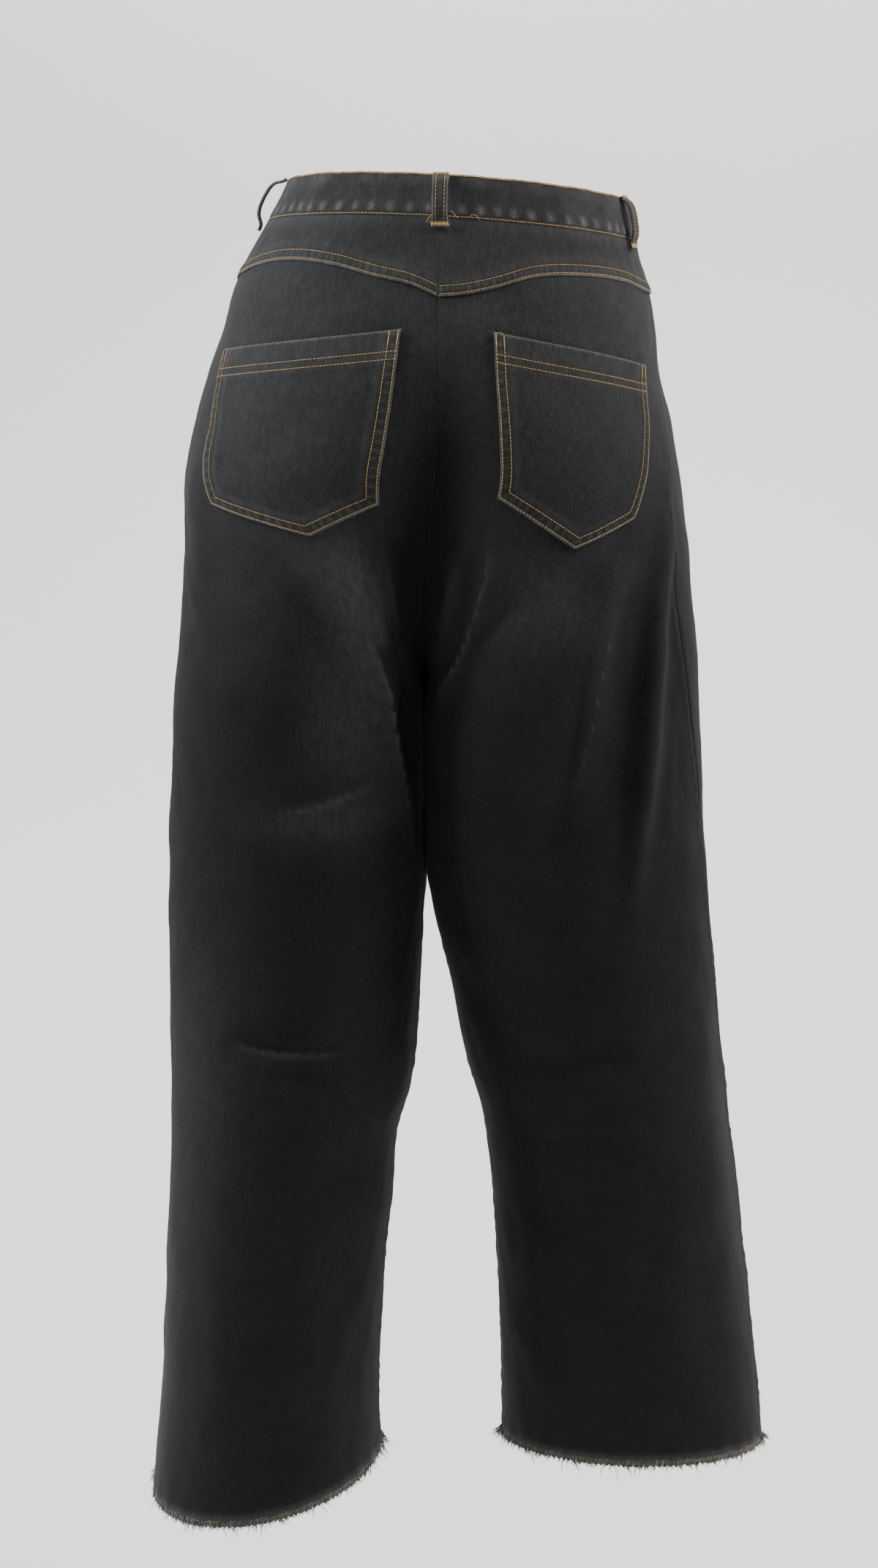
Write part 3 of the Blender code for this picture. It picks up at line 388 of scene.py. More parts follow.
def bump(distance, reach):
    """A soft hump of height 1."""
    return np.exp(-((distance / reach) ** 2))


def wave(length, pitch, phase=0.0):
    """A row of soft humps between 0 and 1."""
    return 0.5 + 0.5 * np.sin(2 * np.pi * length / pitch + phase)


def unit(vectors):
    """The vectors of an array at length 1."""
    return vectors / np.maximum(np.linalg.norm(vectors, axis=-1, keepdims=True), 1e-12)


def read_rows(rows, key):
    """The other columns of a table at given values of its first, along a smooth curve."""
    table = np.array(rows, float)
    if table[0, 0] > table[-1, 0]:
        table = table[::-1]
    keys, values = table[:, 0], table[:, 1:]
    slopes = np.empty_like(values)
    slopes[1:-1] = (values[2:] - values[:-2]) / (keys[2:] - keys[:-2])[:, None]
    slopes[0] = (values[1] - values[0]) / (keys[1] - keys[0])
    slopes[-1] = (values[-1] - values[-2]) / (keys[-1] - keys[-2])
    place = np.clip(key, keys[0], keys[-1])
    i = np.clip(np.searchsorted(keys, place) - 1, 0, len(keys) - 2)
    span = (keys[i + 1] - keys[i])[..., None]
    t = (place - keys[i])[..., None] / span
    start = (2 * t**3 - 3 * t**2 + 1) * values[i] + (t**3 - 2 * t**2 + t) * slopes[i] * span
    end = (3 * t**2 - 2 * t**3) * values[i + 1] + (t**3 - t**2) * slopes[i + 1] * span
    return np.moveaxis(start + end, -1, 0)


def rise_depths(height, front, rear_seam):
    """Depth of the front and rear rise seams, which curve in to the fork."""
    rear_share = np.clip((height - FORK_HEIGHT) / (REAR_DIP_START - FORK_HEIGHT), 0, 1)
    front_share = np.clip((height - FORK_HEIGHT) / (FRONT_DIP_START - FORK_HEIGHT), 0, 1)
    rear = FORK_DEPTH + (rear_seam - FORK_DEPTH) * np.sqrt(1 - (1 - rear_share) ** 2)
    fore = FORK_DEPTH - (front + FORK_DEPTH) * np.sqrt(1 - (1 - front_share) ** 2)
    return fore, rear


def press_flat(side, leg_x, height):
    """Keeps a leg on its own side of the plane where the two legs press together."""
    below = np.clip(FORK_HEIGHT - height, 0, None)
    begun = ease(below / PRESS_FROM)
    limit = side * (FORK_SHIFT + PRESS_LEAN * below) + PRESS_GAP * begun
    soft = PRESS_ROUND * begun
    pressed = (leg_x + limit + np.sqrt((leg_x - limit) ** 2 + soft**2)) / 2
    return np.where(below > 0, pressed, leg_x)


def body_form(side, turn, height):
    """Points of the worn form without folds: hip sections that turn into two round legs."""
    turn, height = np.broadcast_arrays(np.asarray(turn, float), np.asarray(height, float))
    above = height > FORK_HEIGHT
    hip_level = np.maximum(height, FORK_HEIGHT)
    half_left, half_right, front, back, rear_seam = read_rows(PELVIS, hip_level)
    outer = half_left if side == LEFT else half_right
    middle = side * FORK_SHIFT * ease((SHIFT_START - hip_level) / (SHIFT_START - FORK_HEIGHT))
    share = (hip_level - FORK_HEIGHT) / (HIP_HEIGHT - FORK_HEIGHT)
    hip_weight = np.where(above, ease(share), 0.0)
    past = RUN_PAST_MIDDLE * np.clip(share, 0, 1) ** PAST_POWER

    leg_rows = LEFT_LEG if side == LEFT else RIGHT_LEG
    leg_outer, leg_inner, depth, half_depth = read_rows(leg_rows, height)
    radius = np.where(above, (outer - middle + past) / 2, (leg_outer - leg_inner) / 2)
    centre = np.where(above, outer - radius, leg_inner + radius)
    limit = np.where(above, np.arccos(np.clip(past / radius - 1, -1, 1)), np.pi)
    swing = 2 * turn - 1
    angle = np.pi * swing - (np.pi - limit) * np.sign(swing) * np.abs(swing) ** SWING_POWER
    leg_x = press_flat(side, centre + radius * np.cos(angle), height)
    leg_y = depth + half_depth * np.sin(angle)

    half_angle = np.pi * (turn - 0.5)
    fullness = 1 + SECTION_FULLNESS * np.sin(2 * half_angle) ** 2
    hip_x = middle + (outer - middle) * np.cos(half_angle) * fullness
    hip_y = np.where(half_angle < 0, front, back) * np.sin(half_angle) * fullness

    x = hip_weight * hip_x + (1 - hip_weight) * leg_x
    y = hip_weight * hip_y + (1 - hip_weight) * leg_y
    fore, rear = rise_depths(hip_level, front, rear_seam)
    rear_end = hip_weight * back + (1 - hip_weight) * (depth + half_depth * np.sin(limit))
    fore_end = -hip_weight * front + (1 - hip_weight) * (depth - half_depth * np.sin(limit))
    cleft = ease((CLEFT_TOP - height) / 0.09) * ease((height - CLEFT_FOOT) / 0.07)
    y = y - CLEFT_DEPTH * bump((1 - turn) * HIP_ROUND, CLEFT_REACH) * cleft
    spread = FADE_AT_FORK + (1 - FADE_AT_FORK) * ease(1.5 * share)
    rear_pull = np.clip((turn - 1) / (REAR_FADE * spread) + 1, 0, 1) ** FADE_POWER
    fore_pull = np.clip(1 - turn / (FRONT_FADE * spread), 0, 1) ** FADE_POWER
    pull = (rear - rear_end) * rear_pull + (fore - fore_end) * fore_pull
    y = y + np.where(above, pull, 0.0)
    return np.stack([side * x, y, height + 0 * x], -1)


def round_length(height):
    """Length of cloth from turn 0 to turn 1."""
    return HIP_ROUND + (LEG_ROUND - HIP_ROUND) * ease((HIP_HEIGHT - height) / (HIP_HEIGHT - FORK_HEIGHT))


def nearest_on_fold(row, turn, height, across, pieces):
    """Distance to a fold's curve, how far along it the nearest place is, and on which side of it."""
    a, b, c = np.array(row[1:3]), np.array(row[3:5]), np.array(row[5:7])
    bend = 2 * b - (a + c) / 2
    steps = np.linspace(0, 1, pieces + 1)[:, None]
    path = (1 - steps) ** 2 * a + 2 * steps * (1 - steps) * bend + steps**2 * c
    shape = np.broadcast(turn, height).shape
    nearest = np.full(shape, 1e9)
    along = np.zeros(shape)
    sign = np.ones(shape)
    for k in range(pieces):
        run_x = (path[k + 1, 0] - path[k, 0]) * across
        run_z = path[k + 1, 1] - path[k, 1]
        off_x = (turn - path[k, 0]) * across
        off_z = height - path[k, 1]
        t = np.clip((off_x * run_x + off_z * run_z) / (run_x**2 + run_z**2), 0, 1)
        gap = np.hypot(off_x - t * run_x, off_z - t * run_z)
        closer = gap < nearest
        along = np.where(closer, (k + t) / pieces, along)
        sign = np.where(closer, np.sign(off_z * run_x - off_x * run_z), sign)
        nearest = np.where(closer, gap, nearest)
    return nearest, along, sign


def fold_lift(rows, side, turn, height):
    """How far a table of folds lifts the cloth, and how much their crests are worn."""
    total = np.zeros(np.broadcast(turn, height).shape)
    worn = np.zeros(total.shape)
    across = round_length(height)
    for row in rows:
        if row[0] != side:
            continue
        reach_low, reach_high, rise = row[7:]
        nearest, along, sign = nearest_on_fold(row, turn, height, across, FOLD_STEPS)
        reach = np.where(sign > 0, reach_high, reach_low)
        fade = np.sin(np.pi * np.clip(along, 0, 1)) ** FOLD_END_POWER
        total += rise * bump(nearest, reach) * fade
        if rise > 0:
            worn += CREST_WEAR * rise * bump(nearest, CREST_SHARE * reach) * fade
    edge = ease(np.minimum(turn, 1 - turn) / FOLD_EDGE)
    return total * edge, worn * edge


def edge_lift(side, turn, height):
    """Lift of the sharp creases, with wear pale on the crest and painted shade dark on the steep side."""
    total = np.zeros(np.broadcast(turn, height).shape)
    worn = np.zeros(total.shape)
    across = round_length(height)
    for row in EDGES:
        if row[0] != side:
            continue
        soft, steep, steep_side, rise, dark = row[7:]
        nearest, along, sign = nearest_on_fold(row, turn, height, across, CREASE_STEPS)
        rounded = np.sqrt(nearest**2 + CREASE_ROUND**2) - CREASE_ROUND
        steep_here = sign * steep_side > 0
        fade = np.sin(np.pi * np.clip(along, 0, 1)) ** CREASE_END_POWER
        total += rise * np.exp(-rounded / np.where(steep_here, steep, soft)) * fade
        worn += CREASE_PALE * bump(nearest, CREASE_PALE_REACH) * fade * (0.7 + 0.3 * np.sin(along * 60))
        # Painted shade on the steep side of each crease, taken off the wear values
        worn -= dark * np.where(steep_here, np.exp(-((nearest - 0.008) / 0.014) ** 2), 0.0) * fade
    edge = ease(np.minimum(turn, 1 - turn) / FOLD_EDGE)
    return total * edge, worn * edge


def ripple_table(seed, count, short, long):
    """Waves of many directions that add up to soft unevenness: two wave numbers, phase, height."""
    draw = np.random.default_rng(seed)
    length = np.exp(draw.uniform(np.log(short), np.log(long), count))
    way = draw.uniform(0, np.pi, count)
    number = 2 * np.pi / length
    return np.stack([number * np.cos(way), number * np.sin(way), draw.uniform(0, 6.28, count),
                     length / long], 1)


SLOW_RIPPLES = ripple_table(11, 14, 0.030, 0.090)
QUICK_RIPPLES = ripple_table(12, 16, 0.009, 0.026)


def ripples(table, side, across, height):
    """The waves of a table added up."""
    total = 0.0
    for number_x, number_z, phase, share in table:
        total = total + share * np.sin(number_x * across + number_z * height + phase + 1.7 * side)
    return total / math.sqrt(len(table))


def seam_lift(distance, along, seed):
    """A seam: a fine groove between two puckered ridges. Also how worn the puckers are."""
    wobble = along + 0.0045 * np.sin(61 * along + seed) + 0.0025 * np.sin(143 * along + 2 * seed)
    slant = 0.45 * distance
    strong = 0.55 + 0.45 * np.sin(37 * along + 1.3 * seed) * np.sin(83 * along + seed)
    side_wave = wave(wobble + slant, SEAM_PUCKER, seed) * strong
    one_side = np.where(distance > 0, 1.0, 0.35)
    ridge = bump(np.abs(distance) - 0.0042, 0.0038) * one_side
    lift = -0.00080 * bump(distance, 0.0012) + (0.00040 + 0.00130 * side_wave) * ridge
    return lift, 1.2 * ridge * side_wave**2 + 0.25 * bump(distance - 0.0016, 0.0011) * strong


def outseam_turn(side, height):
    left, right = read_rows(OUTSEAM, np.asarray(height, float))
    return left if side == LEFT else right


def seams_near(side, turn, height):
    """Lift and wear of the outseam, the inseam and the rise seams."""
    across = round_length(height)
    lift, worn = seam_lift((turn - outseam_turn(side, height)) * across, height, 1.0 + side)
    strength = 0.35 + 0.65 * ease((-0.14 - height) / 0.06)
    if side == LEFT:
        strength = 0.75 * strength
    lift, worn = lift * strength, worn * strength
    end = np.minimum(turn, 1 - turn) * across
    below = ease((FORK_HEIGHT - height) / 0.02)
    inner_lift, inner_worn = seam_lift(end, height, 4.0 + side)
    lift = lift + inner_lift * (0.25 + 0.45 * below)
    worn = worn + inner_worn * (0.15 + 0.4 * below)
    return lift, worn


def fine_lift(side, turn, height):
    """All that lifts the cloth off the plain form, and its wear with painted shade and painted highlight."""
    big, big_worn = fold_lift(FOLDS, side, turn, height)
    big = FOLD_GAIN * big
    small, small_worn = fold_lift(CREASES, side, turn, height)
    sharp, crease_wear_and_painted_shade = edge_lift(side, turn, height)
    across = round_length(height) * turn
    slow = ripples(SLOW_RIPPLES, side, across, height)
    quick = ripples(QUICK_RIPPLES, side, across, height)
    inner = ease(np.minimum(turn, 1 - turn) / FOLD_EDGE)
    seam, seam_worn = seams_near(side, turn, height)
    lift = big + small + sharp + (0.00055 * slow + 0.00016 * quick) * inner + seam
    # The sharp creases bring both crest wear and painted shade on their steep sides
    worn = 0.30 * big_worn + 0.30 * np.minimum(small_worn, 0.5) + crease_wear_and_painted_shade + 0.9 * seam_worn
    # Rows of painted shade lower the wear values; rows of wear and painted highlight raise them
    for rows, sign in ((PAINTED_SHADE_AREAS, -1), (WEAR_AND_HIGHLIGHT, 1)):
        for row_side, at_turn, at_height, reach_round, reach_up, amount in rows:
            if row_side == side:
                near_round = bump((turn - at_turn) * round_length(height), reach_round)
                worn = worn + sign * amount * near_round * bump(height - at_height, reach_up)
    return lift, worn


def plain_normal(side, turn, height):
    """Outward unit normals of the body form."""
    step = 1e-4
    across = body_form(side, np.clip(turn + step, 0, 1), height)
    across = across - body_form(side, np.clip(turn - step, 0, 1), height)
    up = body_form(side, turn, height + step) - body_form(side, turn, height - step)
    return side * unit(np.cross(across, up))


def between_legs(height):
    """Where across the body the plane lies that keeps the two halves apart."""
    middle = FORK_SHIFT * ease((SHIFT_START - height) / (SHIFT_START - FORK_HEIGHT))
    return middle + PRESS_LEAN * np.clip(FORK_HEIGHT - height, 0, None)


def on_cloth(side, turn, height, proud=0.0):
    """Points of the creased cloth, moved out by an amount, and the wear values there, with painted shade and
    highlight.
    """
    turn, height = np.broadcast_arrays(np.asarray(turn, float), np.asarray(height, float))
    lift, worn = fine_lift(side, turn, height)
    points = body_form(side, turn, height) + plain_normal(side, turn, height) * (lift + proud)[..., None]
    between = between_legs(height)
    points[..., 0] = between + side * np.maximum(side * (points[..., 0] - between), 0.0)
    return points, worn


def yoke_height(side, turn):
    left, right = read_rows(YOKE_SEAM, np.asarray(turn, float))
    return left if side == LEFT else right


def band_edge(side, turn):
    """Height of the waistband's lower edge."""
    turn = np.asarray(turn, float)
    place = body_form(side, turn, np.zeros_like(turn))
    dip = BAND_SIDE_DIP * np.cos(np.pi * (turn - 0.5)) ** 2
    return BAND_MIDDLE + BAND_TILT_X * place[..., 0] + BAND_TILT_Y * place[..., 1] - dip


def hem_height(side, turn):
    """Height of the cut edge of a leg."""
    middle, slope_x, slope_y = HEM[side]
    turn = np.asarray(turn, float)
    ring = body_form(side, turn, np.full_like(turn, middle))
    centre = body_form(side, np.array([0.0, 0.5]), np.full(2, middle)).mean(axis=0)
    return middle + slope_x * (ring[..., 0] - centre[0]) + slope_y * (ring[..., 1] - centre[1])


def outer_blend(seam, rear, share):
    """Turn of a panel's column: from the rise seam (share 0) to the outseam (share 1)."""
    start = 1.0 if rear else 0.0
    return start + (seam - start) * share


def edge_on_column(side, rear, share, edge):
    """Heights at which a panel's columns meet an edge given as a height at each turn."""
    height = np.zeros_like(share)
    for _ in range(4):
        height = edge(side, outer_blend(outseam_turn(side, height), rear, share))
    return height


def spaced(length, step, fine):
    """Shares from 0 to 1 with fine steps, given in metres, at both ends."""
    start = np.array(fine) / length
    count = max(int(round(length * (1 - 2 * start[-1]) / step)), 1)
    middle = np.linspace(start[-1], 1 - start[-1], count + 1)
    return np.concatenate([start[:-1], middle, 1 - start[:-1][::-1]])


def grid_normals(points, like):
    """Unit normals of a grid of points, on the side that the given directions point to."""
    normal = unit(np.cross(np.gradient(points, axis=0), np.gradient(points, axis=1)))
    return -normal if (normal * like).sum() < 0 else normal


def finish_piece(mesh, name, uv, worn, materials, inside_from=None):
    """Gives a mesh its UV map, its wear values (which on the denim also carry painted shade and painted
    highlight) and materials, and makes it a named object.
    """
    layer = mesh.uv_layers.new(name="cloth")
    corner = np.empty(len(mesh.loops), np.int32)
    mesh.loops.foreach_get("vertex_index", corner)
    layer.data.foreach_set("uv", np.asarray(uv, np.float32)[corner].ravel())
    layer = mesh.attributes.new("worn", "FLOAT", "POINT")
    layer.data.foreach_set("value", np.clip(worn, -1, 2).astype(np.float32))
    for material in materials:
        mesh.materials.append(material)
    if inside_from is not None:
        index = np.zeros(len(mesh.polygons), np.int32)
        index[inside_from[0]:inside_from[1]] = 1
        mesh.polygons.foreach_set("material_index", index)
    mesh.shade_smooth()
    mesh.set_sharp_from_angle(angle=math.radians(50.0))
    mesh.update()
    piece = bpy.data.objects.new(name, mesh)
    bpy.context.scene.collection.objects.link(piece)
    return piece


def cloth_shell(name, outer, normals, thickness, uv, worn, materials):
    """A closed shell between a grid of outer points and the same grid moved in."""
    rows, columns = outer.shape[:2]
    count = rows * columns
    index = np.arange(count).reshape(rows, columns)
    quads = np.stack([index[:-1, :-1], index[1:, :-1], index[1:, 1:], index[:-1, 1:]], -1).reshape(-1, 4)
    edge = np.concatenate([index[:-1, 0], index[-1, :-1], index[:0:-1, -1], index[0, :0:-1]])
    after = np.roll(edge, -1)
    rim = np.stack([edge, edge + count, after + count, after], -1)
    faces = np.concatenate([quads, quads[:, ::-1] + count, rim])
    middle = outer.reshape(-1, 3)[quads[len(quads) // 2]]
    facing = np.cross(middle[1] - middle[0], middle[3] - middle[0])
    if facing @ normals.reshape(-1, 3)[quads[len(quads) // 2][0]] < 0:
        faces = faces[:, ::-1]
    points = np.concatenate([outer.reshape(-1, 3), (outer - normals * thickness).reshape(-1, 3)])
    mesh = bpy.data.meshes.new(name)
    mesh.from_pydata(points.tolist(), [], faces.tolist())
    both = np.concatenate([uv.reshape(-1, 2)] * 2)
    worn_both = np.concatenate([worn.ravel(), worn.ravel()])
    return finish_piece(mesh, name, both, worn_both, materials, (len(quads), 2 * len(quads)))


def wrapped_tube(name, rings, uv, worn, materials):
    """A closed tube through rings of points, capped at both ends."""
    count, around = rings.shape[:2]
    index = np.arange(count * around).reshape(count, around)
    beside = np.roll(index, -1, axis=1)
    quads = np.stack([index[:-1], beside[:-1], beside[1:], index[1:]], -1).reshape(-1, 4)
    faces = quads.tolist() + [index[0][::-1].tolist(), index[-1].tolist()]
    points = rings.reshape(-1, 3)
    mesh = bpy.data.meshes.new(name)
    mesh.from_pydata(points.tolist(), [], faces)
    corner = points[quads]
    volume = np.einsum("ij,ij->i", corner[:, 0], np.cross(corner[:, 1], corner[:, 2])).sum()
    volume += np.einsum("ij,ij->i", corner[:, 0], np.cross(corner[:, 2], corner[:, 3])).sum()
    if volume < 0:
        mesh.flip_normals()
    return finish_piece(mesh, name, uv.reshape(-1, 2), worn.ravel(), materials)


class Value:
    """A shader socket that makes math nodes when it is added, subtracted and multiplied."""

    def __init__(self, tree, socket):
        self.tree = tree
        self.socket = socket

    def node(self, kind, inputs, output=0, **settings):
        """Any other node: inputs by name or number, settings by attribute."""
        made = self.tree.nodes.new(kind)
        for key, setting in settings.items():
            setattr(made, key, setting)
        for key, value in inputs.items():
            if isinstance(value, Value):
                self.tree.links.new(value.socket, made.inputs[key])
            else:
                made.inputs[key].default_value = value
        return Value(self.tree, made.outputs[output])

    def math(self, operation, *others):
        inputs = {i + 1: other for i, other in enumerate(others)}
        return self.node("ShaderNodeMath", {0: self, **inputs}, operation=operation)

    def __add__(self, other):
        return self.math("ADD", other)

    def __sub__(self, other):
        return self.math("SUBTRACT", other)

    def __mul__(self, other):
        return self.math("MULTIPLY", other)

    def clamp(self, low=0.0, high=1.0):
        return self.node("ShaderNodeClamp", {"Value": self, "Min": low, "Max": high})

    def step(self, low, high):
        """0 below low, 1 above high, smooth between."""
        return self.node("ShaderNodeMapRange", {"Value": self, "From Min": low, "From Max": high},
                         interpolation_type="SMOOTHSTEP")

    def joined(self, y, z=0.0):
        return self.node("ShaderNodeCombineXYZ", {"X": self, "Y": y, "Z": z})

    def noise(self, scale=1.0, detail=2.0, rough=0.5):
        return self.node("ShaderNodeTexNoise", {"Vector": self, "Scale": scale, "Detail": detail,
                                                "Roughness": rough})

    def between(self, low, high):
        """A colour between two, by this share."""
        return self.node("ShaderNodeMix", {0: self, 6: low, 7: high}, output=2, data_type="RGBA")


def start_material(name, roughness, sheen=0.0, metallic=0.0):
    """A material with constants on its shader. Returns it, its shader and a first value."""
    material = bpy.data.materials.new(name)
    material.use_nodes = True
    tree = material.node_tree
    shader = tree.nodes["Principled BSDF"]
    shader.inputs["Roughness"].default_value = roughness
    shader.inputs["Metallic"].default_value = metallic
    shader.inputs["Specular IOR Level"].default_value = 0.5 if metallic else 0.14
    if sheen:
        shader.inputs["Sheen Weight"].default_value = sheen
        shader.inputs["Sheen Roughness"].default_value = 0.45
        shader.inputs["Sheen Tint"].default_value = (0.80, 0.88, 1.0, 1.0)
    return material, shader, Value(tree, None)


def cloth_uv(first):
    """The two lengths of the cloth's own UV map, in metres."""
    place = first.node("ShaderNodeUVMap", {}, uv_map="cloth")
    return (place.node("ShaderNodeSeparateXYZ", {0: place}, 0),
            place.node("ShaderNodeSeparateXYZ", {0: place}, 1))


def set_bump(first, shader, height, strength, distance):
    normal = first.node("ShaderNodeBump", {"Height": height, "Strength": strength, "Distance": distance})
    first.tree.links.new(normal.socket, shader.inputs["Normal"])


# The twill: pitch of its diagonal wales and of its threads, and the wales' direction
WALE, TWILL_THREAD = 0.0012, 0.0012
WALE_ACROSS, WALE_UP = 0.82, 0.57


def denim_material(name, dark, mid, pale, worn_gain):
    """Washed twill: diagonal wales, slubs along the warp, pale flecks and worn places, with painted shade
    and a painted light that makes the cloth lighter towards the top.
    """
    material, shader, first = start_material(name, 0.84, sheen=0.035)
    u, v = cloth_uv(first)
    # The wear values: above zero wear and painted highlight, below zero painted shade
    wear_and_painted_light = first.node("ShaderNodeAttribute", {}, output=2, attribute_name="worn")
    worn = wear_and_painted_light.math("MAXIMUM", 0.0)
    painted_shade = wear_and_painted_light.math("MINIMUM", 0.0)
    drift = u.joined(v).noise(scale=230.0, detail=2.0)
    phase = (u * WALE_ACROSS + v * WALE_UP) * (2 * math.pi / WALE) + drift * 2.6
    wale = phase.math("SINE") * 0.5 + 0.5
    thread = ((v * WALE_ACROSS - u * WALE_UP) * (2 * math.pi / TWILL_THREAD)).math("SINE") * 0.5 + 0.5
    weave = wale * (thread * 0.45 + 0.55)
    slub = (u * 1150.0).joined(v * 150.0).noise(detail=2.0).step(0.35, 0.75)
    weft = (u * 110.0).joined(v * 1200.0).noise(detail=1.0).step(0.45, 0.80)
    salt = (u * 1000.0).joined(v * 850.0).noise(detail=2.0, rough=0.7).step(0.52, 0.74)
    fleck = (u * 700.0).joined(v * 420.0).noise(detail=1.0, rough=0.6).step(0.68, 0.80)
    cloud = u.joined(v).noise(scale=24.0, detail=3.0, rough=0.6)
    # Painted light: lighter towards the top of the jeans, darker down the legs
    painted_top_light = v.step(-0.41, -0.03)
    tone = (weave * 0.50 + slub * 0.25 + weft * 0.12 + salt * 0.45) * (cloud * 1.2 + 0.35)
    # Painted top light and painted shade scale the tone
    tone = tone * (painted_top_light * 0.80 + 0.50) * (painted_shade * 0.85 + 1.0).clamp(0.1, 1.0)
    base = tone.clamp().between(dark, mid)
    rub = (u * 260.0).joined(v * 90.0).noise(detail=3.0, rough=0.65).step(0.30, 0.72)
    # Paling from wear and from the painted top light, less where shade is painted
    wear_and_top_light = worn * worn_gain + painted_top_light * (painted_shade + 1.0).clamp() * 0.16
    share = (wear_and_top_light * (weave * 0.75 + 0.30) * (rub * 0.50 + 0.47)).clamp(0.0, 0.9)
    share = share.math("MAXIMUM", fleck * (worn * 0.9 + painted_top_light * 0.20 + 0.10).clamp())
    colour = share.between(base, pale)
    first.tree.links.new(colour.socket, shader.inputs["Base Color"])
    set_bump(first, shader, weave * 0.8 + slub * 0.5 + weft * 0.25 + salt * 0.4, 0.60, 0.00030)
    return material


def fray_material(name):
    """Loose threads of the hems, each with its own shade."""
    material, shader, first = start_material(name, 0.92, sheen=0.15)
    u, v = cloth_uv(first)
    shade = first.node("ShaderNodeAttribute", {}, output=2, attribute_name="worn")
    grain = (u * 2200.0).joined(v * 160.0).noise(detail=2.0)
    tone = (shade * 0.75 + grain * 0.5 - 0.12).clamp()
    colour = tone.between((0.012, 0.012, 0.013, 1.0), (0.235, 0.215, 0.180, 1.0))
    first.tree.links.new(colour.socket, shader.inputs["Base Color"])
    set_bump(first, shader, grain, 0.5, 0.0002)
    return material


def thread_material(name):
    """Gold-tan sewing thread, duller where it is rubbed."""
    material, shader, first = start_material(name, 0.62, sheen=0.10)
    u, v = cloth_uv(first)
    shade = first.node("ShaderNodeAttribute", {}, output=2, attribute_name="worn")
    twist = ((u * 5200.0) + (v * 9000.0)).math("SINE") * 0.5 + 0.5
    tone = (shade * 0.8 + twist * 0.25).clamp()
    colour = tone.between((0.20, 0.120, 0.036, 1.0), (0.52, 0.345, 0.125, 1.0))
    first.tree.links.new(colour.socket, shader.inputs["Base Color"])
    set_bump(first, shader, twist, 0.35, 0.00012)
    return material


def metal_material(name):
    """Dull old brass with fine scratches and dark tarnish."""
    material, shader, first = start_material(name, 0.42, metallic=1.0)
    place = first.node("ShaderNodeTexCoord", {}, output=3)
    patch = place.noise(scale=420.0, detail=4.0, rough=0.65)
    colour = patch.step(0.35, 0.68).between((0.10, 0.065, 0.035, 1.0), (0.46, 0.32, 0.16, 1.0))
    first.tree.links.new(colour.socket, shader.inputs["Base Color"])
    rough = patch * 0.35 + 0.25
    first.tree.links.new(rough.socket, shader.inputs["Roughness"])
    set_bump(first, shader, patch, 0.25, 0.0002)
    return material


def stage_material(name, colour, grain):
    material, shader, first = start_material(name, 0.95)
    place = first.node("ShaderNodeTexCoord", {}, output=3)
    tone = place.noise(scale=1.3, detail=2.0)
    low = tuple(c * grain for c in colour) + (1.0,)
    shade = tone.between(low, colour + (1.0,))
    first.tree.links.new(shade.socket, shader.inputs["Base Color"])
    return material


DENIM = denim_material("denim_face", (0.0030, 0.0030, 0.0032, 1.0), (0.036, 0.036, 0.0375, 1.0),
                       (0.185, 0.183, 0.178, 1.0), 0.95)
INSIDE = denim_material("denim_back", (0.050, 0.051, 0.055, 1.0), (0.200, 0.203, 0.208, 1.0),
                        (0.330, 0.330, 0.325, 1.0), 0.35)
FRAY = fray_material("frayed_yarn")
THREAD = thread_material("gold_thread")
METAL = metal_material("old_brass")
CLOTH_PAIR = (DENIM, INSIDE)


def dress(piece, nodes):
    """Lets a piece ride on the part and stand for its nodes."""
    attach(piece, "root")
    if nodes:
        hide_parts(*nodes)
    return piece


def uv_of(side, turn, height):
    """Cloth lengths round and up, measured from the middle of each panel, the same way on both sides."""
    middle = np.where(turn > 0.5, 0.76, 0.24)
    return np.stack([side * ((turn - middle) * round_length(height) + middle), height + 0 * turn], -1)


def leg_panel(side, rear):
    """A front or back panel, from the waist or yoke seam to the cut edge at the hem."""
    name = ("back_" if rear else "front_") + SIDE_NAMES[side]
    step = REAR_STEP if rear else FRONT_STEP
    shares = spaced(PANEL_RUN, step, EDGE_STEPS)
    top = edge_on_column(side, rear, shares, yoke_height if rear else band_edge) - HALF_GAP
    hem = edge_on_column(side, rear, shares, hem_height)
    top_rows = int((top.max() - FIRST_LEVEL) / 0.0030)
    first = np.linspace(0, 1, top_rows + 1)[:-1, None]
    hips = np.linspace(FIRST_LEVEL, FORK_HEIGHT, int((FIRST_LEVEL - FORK_HEIGHT) / step) + 1)
    leg = np.linspace(0, 1, int((FORK_HEIGHT - hem.mean()) / step) + 1)[1:, None]
    heights = np.concatenate([top + (FIRST_LEVEL - top) * first,
                              np.repeat(hips[:, None], len(shares), 1),
                              FORK_HEIGHT + (hem - FORK_HEIGHT) * leg])
    away = 1.0 if rear else -1.0
    nudge = away * HALF_GAP / round_length(heights)
    turns = outer_blend(outseam_turn(side, heights) + nudge, rear, shares[None, :])
    turns[:, 0] -= np.where(heights[:, 0] <= FORK_HEIGHT, nudge[:, 0], 0.0)
    points, worn = on_cloth(side, turns, heights)
    points[:, 0, 0] += np.where(heights[:, 0] >= FORK_HEIGHT, side * HALF_GAP, 0.0)
    near_hem = heights - hem[None, :]
    normals = grid_normals(points, plain_normal(side, turns, heights))
    curl = 0.0005 * np.sin(turns * round_length(heights) * 2 * np.pi / 0.021 + side)
    points = points + normals * (curl * bump(near_hem, 0.010))[..., None]
    worn = worn + 0.5 * bump(near_hem, 0.004)
    uv = uv_of(side, turns, heights)
    piece = cloth_shell(name + "_cloth", points, normals, CLOTH, uv, worn, CLOTH_PAIR)
    return dress(piece, [name])


